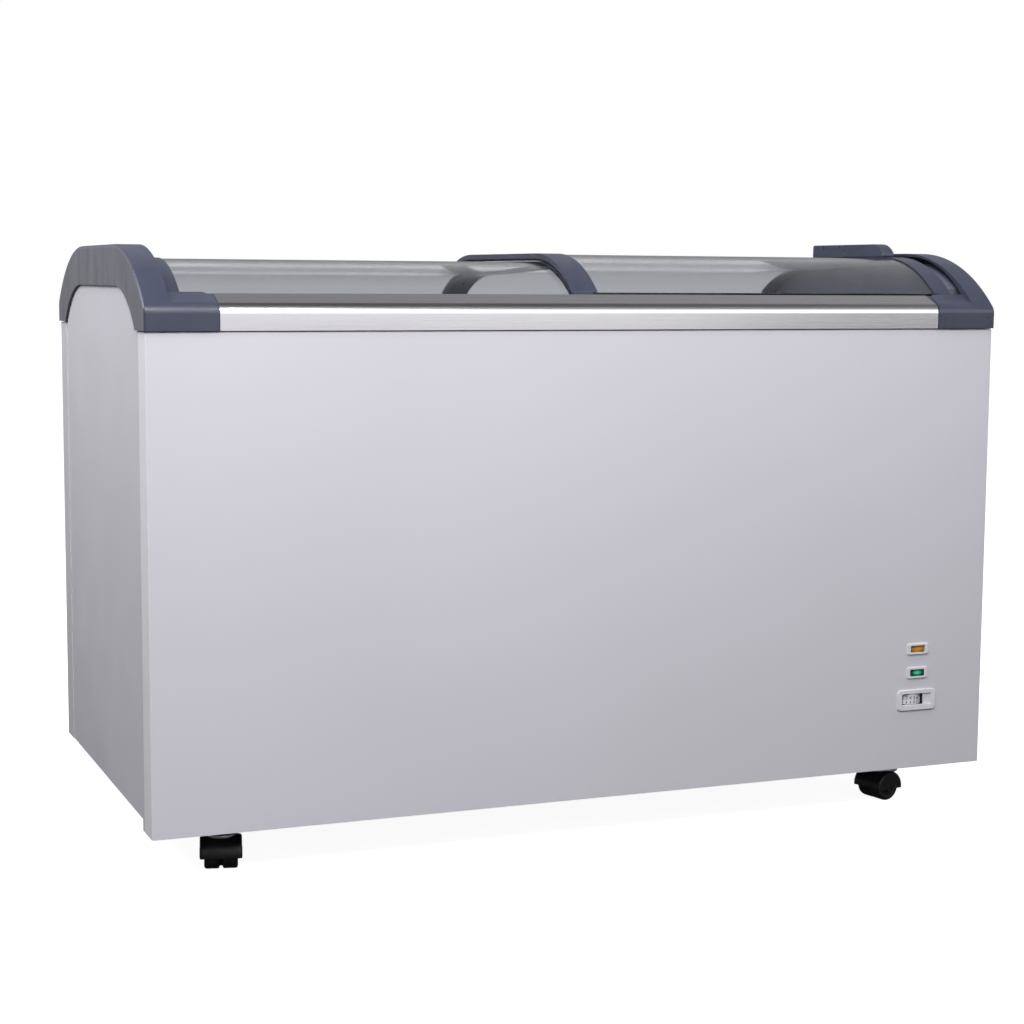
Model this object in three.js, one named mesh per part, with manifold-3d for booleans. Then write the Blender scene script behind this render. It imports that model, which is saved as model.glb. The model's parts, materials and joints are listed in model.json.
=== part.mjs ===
// Chest freezer with a curved sliding glass top, on four swivel casters.
// Millimetres, +Z up. The origin is on the floor under the middle of the cabinet.
// The front faces -Y, and the machine compartment is at the +X end.
import * as THREE from "three";
import { mergeVertices } from "three/addons/utils/BufferGeometryUtils.js";
import Module from "manifold-3d";

const wasm = await Module();
wasm.setup();

// ---- driving dimensions ----
const WIDTH = 1360;
const DEPTH = 663;
const PANEL_BOTTOM = 68;
const PANEL_TOP = 768;
const SIDE_BOTTOM = PANEL_BOTTOM + 15;
const SHEET = 1;
const PANEL_INSET = 3; // how far the trim and end caps stand proud of the steel
const FRONT_RETURN = 59;
const REAR_RETURN = 50;

const CAP_CROWN = { depth: 205, height: 888.5 };
const CAP_LENGTH = 38;
const ARM_LENGTH = 105;
const CAP_WALL = 3.2;

const LID_CROWN = { depth: 192, height: 882 };
const LID_FOOT = { depth: 43.5, height: 825 };
const LID_THICKNESS = 8;
const LOWER_LID_DROP = 12;
const LOWER_LID_FOOT = 53;
const LID_LENGTH = 656;
const LEFT_LID_START = 31; // from the left end of the freezer
const RIGHT_LID_END = 56; // from the right end
const CENTRE_FRAME = 39;
const END_FRAME = 31;
const GLASS_LAP = 6;
const HANDLE_WIDTH = 22;
const RIGHT_HANDLE = { front: 196, back: 424, top: 904 };
const LEFT_HANDLE = { front: 315, back: 480, top: 890 };

const FOAM_INSET = 5.5;
const STEEL_INNER = PANEL_INSET + SHEET + 0.6; // clear of the inside of the front and back steel
const LINER_END = 63; // outer face of the liner, from each end
const LINER_FRONT = 64; // outer face of the liner, from the front and the back
const LINER_FLOOR = 154;
const STEP_X = 299;
const STEP_HEIGHT = 429;
const COIL_GAP = 7.2; // between the liner and the foam, where the evaporator tube runs
const BASE = { bottom: 84, top: 85.5, vents: 6, ventPitch: 40, ventWidth: 20, ventLeft: 400 };
const COMPARTMENT = { left: 360, ceiling: 374 };

const CONTROLS_X = 555;
const SWITCH_Z = 260.8;
const LAMP_Z = 222.5;
const THERMOSTAT_Z = 178.5;
const DIAL = { x: 549, z: 179.5, radius: 24, height: 17, depth: 25.2 };
const ROCKER_TILT = THREE.MathUtils.degToRad(7);
const GLAND = { x: 390, z: 120, hole: 11, cordRadius: 4.5 };

const COMPRESSOR = { x: 500, depth: 450, foot: 86 };
const RELAY_BOX = { depth0: 337, depth1: 360, halfWidth: 25, z0: 130, z1: 200 };
const CONDENSER = { x0: 385, x1: 635, depth0: 100, depth1: 150, z0: 95, z1: 330 };
const FAN = { x: 510, depth: 190, z: 212, radius: 92, hub: 26, motorRadius: 34 };
const DRIER = { x: 640, depth: 560, z: 150 };
const TRAY = { x0: 375, x1: 460, depth0: 560, depth1: 640, z0: 86, z1: 116, wall: 3 };

const WHEEL_RADIUS = 23;
const CASTER_TRAIL = 19;
const FORK = { hoodRadius: 26, halfWidth: 30, hoodFoot: 20, bossRadius: 8.5, bore: 3.3, space: 24.8 };
const SWIVEL_PIN = { radius: 8, bottom: 46, top: 76 };
const CASTER_PLATE = { size: 62, corner: 6, bottom: 81, top: 83.6 };
const CASTERS = [
  { name: "front_left", x: -559, depth: 89, heading: -14 },
  { name: "front_right", x: 559, depth: 89, heading: -78 },
  { name: "rear_left", x: -555, depth: 555, heading: 10 },
  { name: "rear_right", x: 535, depth: 555, heading: -35 },
];

const FINISH = {
  whiteSteel: { color: 0xdad8e1, roughness: 0.35, metalness: 0.1 },
  zincSteel: { color: 0xa9abb0, roughness: 0.4, metalness: 0.8 },
  stainless: { color: 0xb8b8bb, roughness: 0.3, metalness: 1 },
  bluePlastic: { color: 0x5c6178, roughness: 0.45, metalness: 0 },
  darkPlastic: { color: 0x3b3c49, roughness: 0.5, metalness: 0 },
  blackPlastic: { color: 0x111216, roughness: 0.4, metalness: 0 },
  whitePlastic: { color: 0xe6e4ea, roughness: 0.4, metalness: 0 },
  rubber: { color: 0x1c1c1e, roughness: 0.8, metalness: 0 },
  foam: { color: 0xd9cfa8, roughness: 0.9, metalness: 0 },
  liner: { color: 0xd4d6da, roughness: 0.3, metalness: 0.7 },
  copper: { color: 0xb4683c, roughness: 0.35, metalness: 1 },
  aluminium: { color: 0xb5b8bc, roughness: 0.4, metalness: 0.9 },
  glass: { color: 0xdfe6ea, roughness: 0.05, metalness: 0 },
  amber: { color: 0xc88c28, roughness: 0.25, metalness: 0 },
  green: { color: 0x0a7a50, roughness: 0.2, metalness: 0 },
};

// ---- solids ----
function solidOf(geometry) {
  const bare = geometry.clone();
  bare.deleteAttribute("normal");
  bare.deleteAttribute("uv");
  const merged = mergeVertices(bare, 1e-4);
  const index = merged.index.array;
  const corners = [];
  for (let i = 0; i < index.length; i += 3) {
    const [a, b, c] = [index[i], index[i + 1], index[i + 2]];
    if (a !== b && b !== c && c !== a) corners.push(a, b, c);
  }
  const mesh = new wasm.Mesh({
    numProp: 3,
    vertProperties: new Float32Array(merged.attributes.position.array),
    triVerts: new Uint32Array(corners),
  });
  return new wasm.Manifold(mesh);
}

function join(solids) {
  return solids.reduce((whole, solid) => whole.add(solid));
}

function cut(solid, ...tools) {
  return tools.reduce((rest, tool) => rest.subtract(tool), solid);
}

function geometryOf(solid) {
  const mesh = solid.getMesh();
  const positions = new Float32Array(mesh.numVert * 3);
  for (let i = 0; i < mesh.numVert; i += 1) {
    for (let k = 0; k < 3; k += 1) {
      positions[3 * i + k] = mesh.vertProperties[mesh.numProp * i + k];
    }
  }
  const geometry = new THREE.BufferGeometry();
  geometry.setAttribute("position", new THREE.BufferAttribute(positions, 3));
  geometry.setIndex(new THREE.BufferAttribute(new Uint32Array(mesh.triVerts), 1));
  geometry.computeVertexNormals();
  return geometry;
}

// ---- outlines: a side outline lists [depth from the front, height above the floor] ----
const AXES = {
  x: [new THREE.Vector3(0, 1, 0), new THREE.Vector3(0, 0, 1), new THREE.Vector3(1, 0, 0)],
  y: [new THREE.Vector3(1, 0, 0), new THREE.Vector3(0, 0, 1), new THREE.Vector3(0, -1, 0)],
  z: [new THREE.Vector3(1, 0, 0), new THREE.Vector3(0, 1, 0), new THREE.Vector3(0, 0, 1)],
};

function shapeOf(points) {
  return new THREE.Shape(points.map(([u, v]) => new THREE.Vector2(u, v)));
}

// Extrude an outline along a row axis, from one coordinate to a larger one.
function extrude(axis, outline, from, to, holes = []) {
  const shape = shapeOf(outline);
  holes.forEach((hole) => shape.holes.push(shapeOf(hole)));
  const geometry = new THREE.ExtrudeGeometry(shape, { depth: to - from, bevelEnabled: false });
  const matrix = new THREE.Matrix4().makeBasis(...AXES[axis]);
  const start = { x: [from, 0, 0], y: [0, to, 0], z: [0, 0, from] }[axis];
  matrix.setPosition(...start);
  return solidOf(geometry.applyMatrix4(matrix));
}

const toY = (depth) => depth - DEPTH / 2;
const toX = (side, inward) => side * (WIDTH / 2 - inward);

// A side outline extruded along X.
function beam(outline, x0, x1) {
  const points = outline.map(([depth, height]) => [toY(depth), height]);
  return extrude("x", points, Math.min(x0, x1), Math.max(x0, x1));
}

// A side outline extruded inward from one end of the freezer: side is -1 left, +1 right.
function endSlab(side, outline, from, to) {
  return beam(outline, toX(side, from), toX(side, to));
}

function block(x0, x1, depth0, depth1, z0, z1) {
  const geometry = new THREE.BoxGeometry(x1 - x0, depth1 - depth0, z1 - z0);
  geometry.translate((x0 + x1) / 2, toY((depth0 + depth1) / 2), (z0 + z1) / 2);
  return solidOf(geometry);
}

function cylinder(axis, radius, length, centre, segments = 24) {
  const geometry = new THREE.CylinderGeometry(radius, radius, length, segments);
  if (axis === "z") geometry.rotateX(Math.PI / 2);
  if (axis === "x") geometry.rotateZ(Math.PI / 2);
  geometry.translate(...centre);
  return solidOf(geometry);
}

// A profile of [radius, height] turned about a vertical axis.
function turned(profile, centre, segments = 24) {
  const points = profile.map(([r, h]) => new THREE.Vector2(r, h));
  const geometry = new THREE.LatheGeometry(points, segments);
  geometry.rotateX(Math.PI / 2);
  geometry.translate(...centre);
  return solidOf(geometry);
}

function roundedRectangle(cx, cy, width, height, radius, steps = 4) {
  const points = [];
  const corners = [[1, -1], [1, 1], [-1, 1], [-1, -1]];
  corners.forEach(([sx, sy], quarter) => {
    for (let i = 0; i <= steps; i += 1) {
      const angle = (quarter - 1 + i / steps) * (Math.PI / 2);
      const u = cx + sx * (width / 2 - radius) + radius * Math.cos(angle);
      const v = cy + sy * (height / 2 - radius) + radius * Math.sin(angle);
      points.push([u, v]);
    }
  });
  return points;
}

const raised = (points, rise) => points.map(([depth, height]) => [depth, height + rise]);
const mirrored = (points) => points.map(([depth, height]) => [DEPTH - depth, height]).reverse();

// An arc that climbs from a foot to a crown, where it is level.
function shoulder([d0, h0], [d1, h1], steps = 8) {
  const run = d1 - d0;
  const rise = h1 - h0;
  const radius = (run * run + rise * rise) / (2 * rise);
  const sweep = Math.asin(run / radius);
  const points = [];
  for (let i = 0; i <= steps; i += 1) {
    const angle = sweep * (1 - i / steps);
    points.push([d1 - radius * Math.sin(angle), h1 - radius * (1 - Math.cos(angle))]);
  }
  return points;
}

// The same shoulder at the front and the back, with a level crown between them.
function arch(foot, crown, steps) {
  const front = shoulder(foot, crown, steps);
  return [...front, ...mirrored(front)];
}

// ---- parts ----
const freezer = new THREE.Group();
freezer.name = "chest_freezer";

function part(name, solid, finish, parent = freezer) {
  const mesh = new THREE.Mesh(geometryOf(solid), new THREE.MeshStandardMaterial(FINISH[finish]));
  mesh.name = name;
  parent.add(mesh);
  return mesh;
}

// ---- lid curve, shared by both lids, the caps and the end walls ----
const LID_RUN = LID_CROWN.depth - LID_FOOT.depth;
const LID_RISE = LID_CROWN.height - LID_FOOT.height;
const LID_RADIUS = (LID_RUN ** 2 + LID_RISE ** 2) / (2 * LID_RISE);

function lidTop(depth) {
  const run = Math.max(LID_CROWN.depth - depth, 0);
  return LID_CROWN.height - LID_RADIUS + Math.sqrt(LID_RADIUS ** 2 - run ** 2);
}

function lidArch(foot, rise, steps) {
  return raised(arch([foot, lidTop(foot)], [LID_CROWN.depth, LID_CROWN.height], steps), rise);
}

// A band between two copies of the lid curve, one above the other.
function lidBand(foot, top, bottom) {
  return [...lidArch(foot, top), ...lidArch(foot, bottom).reverse()];
}

// ---- collar: the rolled edge that runs along the front and back under the lids ----
const COLLAR = { bottom: 769.7, round: 18, centreHeight: 793, turn: 66, reach: 30 };

// The collar's outer skin, moved inward by inset.
function collarSkin(inset) {
  const radius = COLLAR.round - inset;
  const points = [[inset, COLLAR.bottom]];
  for (let i = 0; i <= 6; i += 1) {
    const angle = THREE.MathUtils.degToRad((COLLAR.turn * i) / 6);
    points.push([
      COLLAR.round - radius * Math.cos(angle),
      COLLAR.centreHeight + radius * Math.sin(angle),
    ]);
  }
  const [lastDepth, lastHeight] = points[points.length - 1];
  const slope = THREE.MathUtils.degToRad(90 - COLLAR.turn);
  points.push([lastDepth + COLLAR.reach * Math.cos(slope), lastHeight + COLLAR.reach * Math.sin(slope)]);
  return points;
}

const UPPER_TRACK = { wall: 41.5, floor: 811 };
const LOWER_TRACK = { wall: 51.8, floor: 798.5 };
const RAIL_INNER = { wall: 60.3, top: 803, back: 63.5 };

function railOutline() {
  return [
    [2.4, PANEL_TOP + 0.6],
    ...collarSkin(2.4).slice(1),
    [UPPER_TRACK.wall, 820.3],
    [UPPER_TRACK.wall, UPPER_TRACK.floor],
    [LOWER_TRACK.wall, UPPER_TRACK.floor],
    [LOWER_TRACK.wall, LOWER_TRACK.floor],
    [RAIL_INNER.wall, LOWER_TRACK.floor],
    [RAIL_INNER.wall, RAIL_INNER.top],
    [RAIL_INNER.back, RAIL_INNER.top],
    [RAIL_INNER.back, PANEL_TOP + 0.6],
  ];
}

function makeCollars() {
  const trim = [...collarSkin(1), ...collarSkin(2).reverse()];
  const trimEnd = ARM_LENGTH + 0.4;
  const ends = [["front", (points) => points], ["rear", mirrored]];
  ends.forEach(([where, place]) => {
    part(`${where}_trim`, beam(place(trim), toX(-1, trimEnd), toX(1, trimEnd)), "stainless");
    part(`${where}_lid_rail`, beam(place(railOutline()), toX(-1, 6), toX(1, 6)), "bluePlastic");
  });
}

// ---- cabinet ----
function bentSheet(frontDepth, backDepth, z0, z1) {
  const outer = WIDTH / 2 - PANEL_INSET;
  const inner = outer - SHEET;
  const step = frontDepth < backDepth ? SHEET : -SHEET;
  const [face, end] = [toY(frontDepth), toY(backDepth)];
  const inside = toY(frontDepth + step);
  const soft = 2 * step;
  const outline = [
    [-outer, end],
    [-outer, face + soft],
    [-outer + 0.6, face + 0.6 * step],
    [-outer + 2, face],
    [outer - 2, face],
    [outer - 0.6, face + 0.6 * step],
    [outer, face + soft],
    [outer, end],
    [inner, end],
    [inner, inside],
    [-inner, inside],
    [-inner, end],
  ];
  return extrude("z", outline, z0, z1);
}

function frontCutout(x, z, width, height) {
  return block(x - width / 2, x + width / 2, 0, 10, z - height / 2, z + height / 2);
}

const SEAM = { inward: 13, width: 1.2, rise: 2, height: 5 };

function makeFrontPanel() {
  const sheet = bentSheet(PANEL_INSET, PANEL_INSET + FRONT_RETURN, PANEL_BOTTOM, PANEL_TOP);
  const seamX = toX(-1, SEAM.inward);
  const seamZ = PANEL_BOTTOM + SEAM.rise;
  const seam = block(seamX - SEAM.width / 2, seamX + SEAM.width / 2, 0, 10, seamZ, seamZ + SEAM.height);
  const panel = cut(
    sheet,
    seam,
    frontCutout(CONTROLS_X, SWITCH_Z, 34, 14),
    frontCutout(CONTROLS_X, LAMP_Z, 34, 14),
    frontCutout(CONTROLS_X, THERMOSTAT_Z, 60, 28),
  );
  part("front_panel", panel, "whiteSteel");
}

const BACK_VENTS = { rows: 7, pitch: 28, bottom: 150, columns: [400, 530], width: 100, height: 8 };

function makeBackPanel() {
  const back = DEPTH - PANEL_INSET;
  const slots = [];
  for (let row = 0; row < BACK_VENTS.rows; row += 1) {
    const z = BACK_VENTS.bottom + BACK_VENTS.pitch * row;
    for (const x of BACK_VENTS.columns) {
      slots.push(block(x, x + BACK_VENTS.width, back - 10, back + 5, z, z + BACK_VENTS.height));
    }
  }
  const glandHole = cylinder("y", GLAND.hole, 20, [GLAND.x, toY(back), GLAND.z], 20);
  const sheet = bentSheet(back, back - REAR_RETURN, SIDE_BOTTOM, PANEL_TOP);
  part("back_panel", cut(sheet, ...slots, glandHole), "whiteSteel");
}

const RIGHT_SHEET = [660, 690]; // a span of X that takes in the right side's steel and grille
const GRILLE = { depth: DEPTH / 2, z: 225, width: 350, height: 210, lap: 8 };
const GRILLE_SLOTS = { rows: 9, pitch: 20, column: 80, width: 146, height: 9 };

function makeSidePanel(side) {
  const front = PANEL_INSET + FRONT_RETURN + 0.3;
  const rear = DEPTH - PANEL_INSET - REAR_RETURN - 0.3;
  const ledge = PANEL_TOP + 0.6;
  const archFoot = 51;
  const outline = [
    [front, SIDE_BOTTOM],
    [front, ledge],
    [archFoot, ledge],
    ...arch([archFoot, ledge + 1.4], [196, 837.5]),
    [DEPTH - archFoot, ledge],
    [rear, ledge],
    [rear, SIDE_BOTTOM],
  ];
  let panel = endSlab(side, outline, PANEL_INSET + SHEET, PANEL_INSET + 2 * SHEET);
  if (side > 0) {
    const [w, h] = [GRILLE.width / 2 - GRILLE.lap, GRILLE.height / 2 - GRILLE.lap];
    const [d, z] = [GRILLE.depth, GRILLE.z];
    panel = cut(panel, block(...RIGHT_SHEET, d - w, d + w, z - h, z + h));
  }
  part(side < 0 ? "left_side_panel" : "right_side_panel", panel, "whiteSteel");
}

function makeSideGrille() {
  const frame = roundedRectangle(toY(GRILLE.depth), GRILLE.z, GRILLE.width, GRILLE.height, 8);
  const slots = [];
  const [halfWidth, halfHeight] = [GRILLE_SLOTS.width / 2, GRILLE_SLOTS.height / 2];
  for (let row = 0; row < GRILLE_SLOTS.rows; row += 1) {
    const z = GRILLE.z + (row - (GRILLE_SLOTS.rows - 1) / 2) * GRILLE_SLOTS.pitch;
    for (const column of [-1, 1]) {
      const depth = GRILLE.depth + column * GRILLE_SLOTS.column;
      const [front, back] = [depth - halfWidth, depth + halfWidth];
      slots.push(block(...RIGHT_SHEET, front, back, z - halfHeight, z + halfHeight));
    }
  }
  const plate = extrude("x", frame, toX(1, PANEL_INSET + 0.7), toX(1, 0.8));
  part("side_vent_grille", cut(plate, ...slots), "whitePlastic");
}

function tubOutline(grow, top) {
  const end = WIDTH / 2 - LINER_END + grow;
  return [
    [-end, top],
    [-end, LINER_FLOOR - grow],
    [STEP_X + grow, LINER_FLOOR - grow],
    [STEP_X + grow, STEP_HEIGHT - grow],
    [end, STEP_HEIGHT - grow],
    [end, top],
  ];
}

// The storage tub's shape, grown outward by grow and open upward to top.
function tub(grow, top) {
  const front = toY(LINER_FRONT - grow);
  return extrude("y", tubOutline(grow, top), front, -front);
}

const DRAIN = { x: -520, depth: 331.5, radius: 12 };

function drainBore(radius) {
  return cylinder("z", radius, 200, [DRAIN.x, toY(DRAIN.depth), 120], 20);
}

function makeLiner() {
  const flange = block(-620, 620, 40, DEPTH - 40, PANEL_TOP - 1, PANEL_TOP);
  const shell = cut(join([tub(0, PANEL_TOP), flange]), tub(-1, PANEL_TOP + 5), drainBore(DRAIN.radius));
  part("inner_liner", shell, "liner");
}

const END_WALL = { outer: 7, inner: 62, front: 64.2, skin: 3 };

// The end moulding's side outline: it closes the space under the lids.
function endWallOutline(side, inset) {
  const drop = side < 0 ? LOWER_LID_DROP : 0;
  const rise = -LID_THICKNESS - drop - 2 - inset;
  const front = END_WALL.front + inset;
  return [[front, PANEL_TOP + 0.8], ...lidArch(front, rise), [DEPTH - front, PANEL_TOP + 0.8]];
}

function makeEndWall(side) {
  const outer = endSlab(side, endWallOutline(side, 0), END_WALL.outer, END_WALL.inner);
  const hollowOutline = endWallOutline(side, END_WALL.skin);
  hollowOutline[0][1] -= 10;
  hollowOutline[hollowOutline.length - 1][1] -= 10;
  const hollow = endSlab(side, hollowOutline, END_WALL.outer - 5, END_WALL.inner - END_WALL.skin);
  part(side < 0 ? "left_end_wall" : "right_end_wall", cut(outer, hollow), "darkPlastic");
}

function makeFoam() {
  const end = WIDTH / 2 - FOAM_INSET;
  const bottom = BASE.top + 0.8;
  const top = PANEL_TOP - 1.5;
  const outline = [
    [-end, top],
    [-end, bottom],
    [COMPARTMENT.left, bottom],
    [COMPARTMENT.left, COMPARTMENT.ceiling],
    [end, COMPARTMENT.ceiling],
    [end, top],
  ];
  const body = extrude("y", outline, toY(STEEL_INNER), toY(DEPTH - STEEL_INNER));
  const ends = [-1, 1].map((side) => {
    const arched = endWallOutline(side, END_WALL.skin + 0.5);
    arched[0][1] = top - 20;
    arched[arched.length - 1][1] = top - 20;
    return endSlab(side, arched, END_WALL.outer + 0.5, END_WALL.inner - END_WALL.skin - 0.5);
  });
  const foam = cut(join([body, ...ends]), tub(COIL_GAP, PANEL_TOP + 2), drainBore(DRAIN.radius + 3));
  part("foam_insulation", foam, "foam");
}

function makeDrain() {
  const [x, y] = [DRAIN.x, toY(DRAIN.depth)];
  const bore = DRAIN.radius - 3;
  const tube = [[bore, 86.6], [DRAIN.radius - 0.4, 86.6], [DRAIN.radius - 0.4, 156], [bore, 156]];
  part("drain_tube", turned([...tube, tube[0]], [x, y, 0], 20), "whitePlastic");
  const plug = [[0, 130], [bore - 0.4, 130], [bore - 0.4, 156.4], [16, 156.4], [14, 161], [0, 161]];
  part("drain_plug", turned(plug, [x, y, 0], 20), "rubber");
}

// A route of straight runs that turns exactly at its points.
class Route extends THREE.Curve {
  constructor(points) {
    super();
    this.points = points;
  }

  getPoint(t) {
    const place = t * (this.points.length - 1);
    const i = Math.min(Math.floor(place), this.points.length - 2);
    return this.points[i].clone().lerp(this.points[i + 1], place - i);
  }

  getPointAt(u) {
    return this.getPoint(u);
  }

  getTangentAt(u) {
    return this.getTangent(u);
  }
}

// One tube wound round the liner in rectangular turns.
function makeEvaporator() {
  const turns = 4;
  const pitch = 60;
  const radius = 3.2;
  const gap = COIL_GAP / 2;
  const [halfX, halfY] = [WIDTH / 2 - LINER_END + gap, DEPTH / 2 - LINER_FRONT + gap];
  const corners = [[1, -1], [1, 1], [-1, 1], [-1, -1]];
  const points = [];
  for (let i = 0; i < turns * 4; i += 1) {
    const [sx, sy] = corners[i % 4];
    points.push(new THREE.Vector3(sx * halfX, sy * halfY, STEP_HEIGHT + 50 + (pitch * i) / 4));
  }
  const section = shapeOf(Array.from({ length: 8 }, (_, i) => {
    const angle = (i / 8) * 2 * Math.PI;
    return [radius * Math.cos(angle), radius * Math.sin(angle)];
  }));
  const settings = { steps: points.length - 1, extrudePath: new Route(points) };
  part("evaporator_coil", solidOf(new THREE.ExtrudeGeometry(section, settings)), "copper");
}

function makeBasePlate() {
  const end = WIDTH / 2 - FOAM_INSET;
  const plate = block(-end, end, STEEL_INNER, DEPTH - STEEL_INNER, BASE.bottom, BASE.top);
  const vents = [];
  for (let i = 0; i < BASE.vents; i += 1) {
    const x = BASE.ventLeft + BASE.ventPitch * i;
    vents.push(block(x, x + BASE.ventWidth, 250, 420, BASE.bottom - 4, BASE.top + 4));
  }
  part("base_plate", cut(plate, ...vents), "zincSteel");
}

// ---- end caps ----
const BELOW_CAP = 700;
const ABOVE_CAP = 900;

// The cap's curve starts as the collar's own round and runs on, tangent to it, into a wider arc.
const CAP_RUN = CAP_CROWN.depth - COLLAR.round;
const CAP_RISE = CAP_CROWN.height - COLLAR.centreHeight;
const CAP_RADIUS = (CAP_RUN ** 2 + CAP_RISE ** 2 - COLLAR.round ** 2) / (2 * (CAP_RISE - COLLAR.round));
const CAP_TURN = Math.atan2(CAP_RADIUS - CAP_RISE, CAP_RUN);
const CAP_STEPS = { round: 4, arch: 10 };

function capOutline(inset) {
  const front = [[inset, COLLAR.bottom]];
  const [small, wide] = [COLLAR.round - inset, CAP_RADIUS - inset];
  for (let i = 0; i <= CAP_STEPS.round; i += 1) {
    const angle = (CAP_TURN * i) / CAP_STEPS.round;
    front.push([COLLAR.round - small * Math.cos(angle), COLLAR.centreHeight + small * Math.sin(angle)]);
  }
  const centreHeight = CAP_CROWN.height - CAP_RADIUS;
  for (let i = 1; i <= CAP_STEPS.arch; i += 1) {
    const angle = CAP_TURN + ((Math.PI / 2 - CAP_TURN) * i) / CAP_STEPS.arch;
    front.push([CAP_CROWN.depth - wide * Math.cos(angle), centreHeight + wide * Math.sin(angle)]);
  }
  return [...front, ...mirrored(front)];
}

function makeEndCap(side) {
  const drop = side < 0 ? LOWER_LID_DROP : 0;
  const shell = endSlab(side, capOutline(0), 0, CAP_LENGTH);
  const hollowOutline = capOutline(4);
  hollowOutline[0][1] -= 5;
  hollowOutline[hollowOutline.length - 1][1] -= 5;
  const hollow = endSlab(side, hollowOutline, CAP_WALL, CAP_LENGTH - 3);
  const windowArch = arch([59, COLLAR.bottom + 0.3], [196, 829.5]);
  windowArch[0][1] -= 5;
  windowArch[windowArch.length - 1][1] -= 5;
  const window = endSlab(side, windowArch, -1, CAP_WALL + 1);
  const lidSpace = [[40.5, BELOW_CAP], ...lidArch(40.5, 1.6 - drop), [DEPTH - 40.5, BELOW_CAP]];
  const arms = [(points) => points, mirrored].map((place) => {
    const outline = [...collarSkin(0), [39.5, 822.5], [39.5, COLLAR.bottom]];
    return endSlab(side, place(outline), CAP_WALL / 2, ARM_LENGTH);
  });
  const railSpaces = [(points) => points, mirrored].map((place) => {
    const roof = [[39.6, 821], [70, 821]];
    const outline = [[2, BELOW_CAP], ...collarSkin(2).slice(1), ...roof, [70, BELOW_CAP]];
    return endSlab(side, place(outline), CAP_WALL, ARM_LENGTH + 1);
  });
  const armEnd = [
    [-1, BELOW_CAP],
    [ARM_LENGTH, BELOW_CAP],
    [ARM_LENGTH - 0.5, 796],
    [ARM_LENGTH - 3, 808],
    [ARM_LENGTH - 8, 817],
    [ARM_LENGTH - 16, 823],
    [CAP_LENGTH, 826],
    [CAP_LENGTH, ABOVE_CAP],
    [-1, ABOVE_CAP],
  ].map(([inward, height]) => [toX(side, inward), height]);
  const reach = extrude("y", armEnd, toY(-5), toY(DEPTH + 5));
  const whole = cut(
    join([cut(shell, hollow), ...arms]),
    window,
    endSlab(side, lidSpace, CAP_WALL, CAP_LENGTH + 1),
    ...railSpaces,
  );
  part(side < 0 ? "left_end_cap" : "right_end_cap", whole.intersect(reach), "bluePlastic");
}

// ---- sliding lids ----
// A long block across the lid's crown, with its front end sloped.
function handleOutline({ front, back, top }, seat) {
  return [
    [front, seat],
    [back, seat],
    [back, top - 3],
    [back - 0.8, top - 0.8],
    [back - 3, top],
    ...shoulder([front, top - 15], [front + 32, top], 6).reverse(),
  ];
}

function makeLid({ side, x0, x1, foot, drop, trackFloor }) {
  const name = side < 0 ? "left_lid" : "right_lid";
  const endFrame = side < 0 ? [x0, x0 + END_FRAME] : [x1 - END_FRAME, x1];
  const centreFrame = side < 0 ? [x1 - CENTRE_FRAME, x1] : [x0, x0 + CENTRE_FRAME];
  const glassEnds = [
    Math.min(endFrame[1], centreFrame[1]) - GLASS_LAP,
    Math.max(endFrame[0], centreFrame[0]) + GLASS_LAP,
  ];
  const slot = beam(lidBand(foot, -1.2 - drop, -5.8 - drop), glassEnds[0] - 0.4, glassEnds[1] + 0.4);
  const body = lidBand(foot, -drop, -LID_THICKNESS - drop);
  part(`${name}_end_frame`, cut(beam(body, ...endFrame), slot), "bluePlastic");
  part(`${name}_centre_frame`, cut(beam(body, ...centreFrame), slot), "bluePlastic");
  part(`${name}_glass`, beam(lidBand(foot, -1.5 - drop, -5.5 - drop), ...glassEnds), "glass");

  const under = (depth) => lidTop(depth) - drop - LID_THICKNESS - 0.3;
  const runner = [
    [foot, trackFloor],
    [foot + 6.5, trackFloor],
    [foot + 6.5, under(foot + 6.5)],
    [foot, under(foot)],
  ];
  part(`${name}_front_runner`, beam(runner, x0, x1), "blackPlastic");
  part(`${name}_rear_runner`, beam(mirrored(runner), x0, x1), "blackPlastic");

  const outline = handleOutline(side < 0 ? LEFT_HANDLE : RIGHT_HANDLE, LID_CROWN.height + 0.3 - drop);
  const handleEnds =
    side < 0 ? [endFrame[1] - HANDLE_WIDTH, endFrame[1]] : [endFrame[0], endFrame[0] + HANDLE_WIDTH];
  part(`${name}_handle`, beam(outline, ...handleEnds), "bluePlastic");
}

function makeLids() {
  const leftStart = toX(-1, LEFT_LID_START);
  makeLid({
    side: -1,
    x0: leftStart,
    x1: leftStart + LID_LENGTH,
    foot: LOWER_LID_FOOT,
    drop: LOWER_LID_DROP,
    trackFloor: LOWER_TRACK.floor + 0.5,
  });
  const rightEnd = toX(1, RIGHT_LID_END);
  makeLid({
    side: 1,
    x0: rightEnd - LID_LENGTH,
    x1: rightEnd,
    foot: LID_FOOT.depth,
    drop: 0,
    trackFloor: UPPER_TRACK.floor + 0.5,
  });
  const seal = lidBand(56, -LID_THICKNESS - 0.3, -LID_THICKNESS - 3.2);
  const sealX = rightEnd - LID_LENGTH + 2;
  part("lid_gap_seal", beam(seal, sealX, sealX + 3), "rubber");
}

// ---- controls ----
function bezel(z, outer, inner, opening, plateDepth) {
  const hole = roundedRectangle(CONTROLS_X, z, ...opening, 1.5, 2);
  const plate = roundedRectangle(CONTROLS_X, z, ...outer, 3, 3);
  const spigot = roundedRectangle(CONTROLS_X, z, ...inner, 1.5, 2);
  return join([
    extrude("y", plate, toY(plateDepth), toY(2.7), [hole]),
    extrude("y", spigot, toY(2.6), toY(8), [hole]),
  ]);
}

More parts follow.
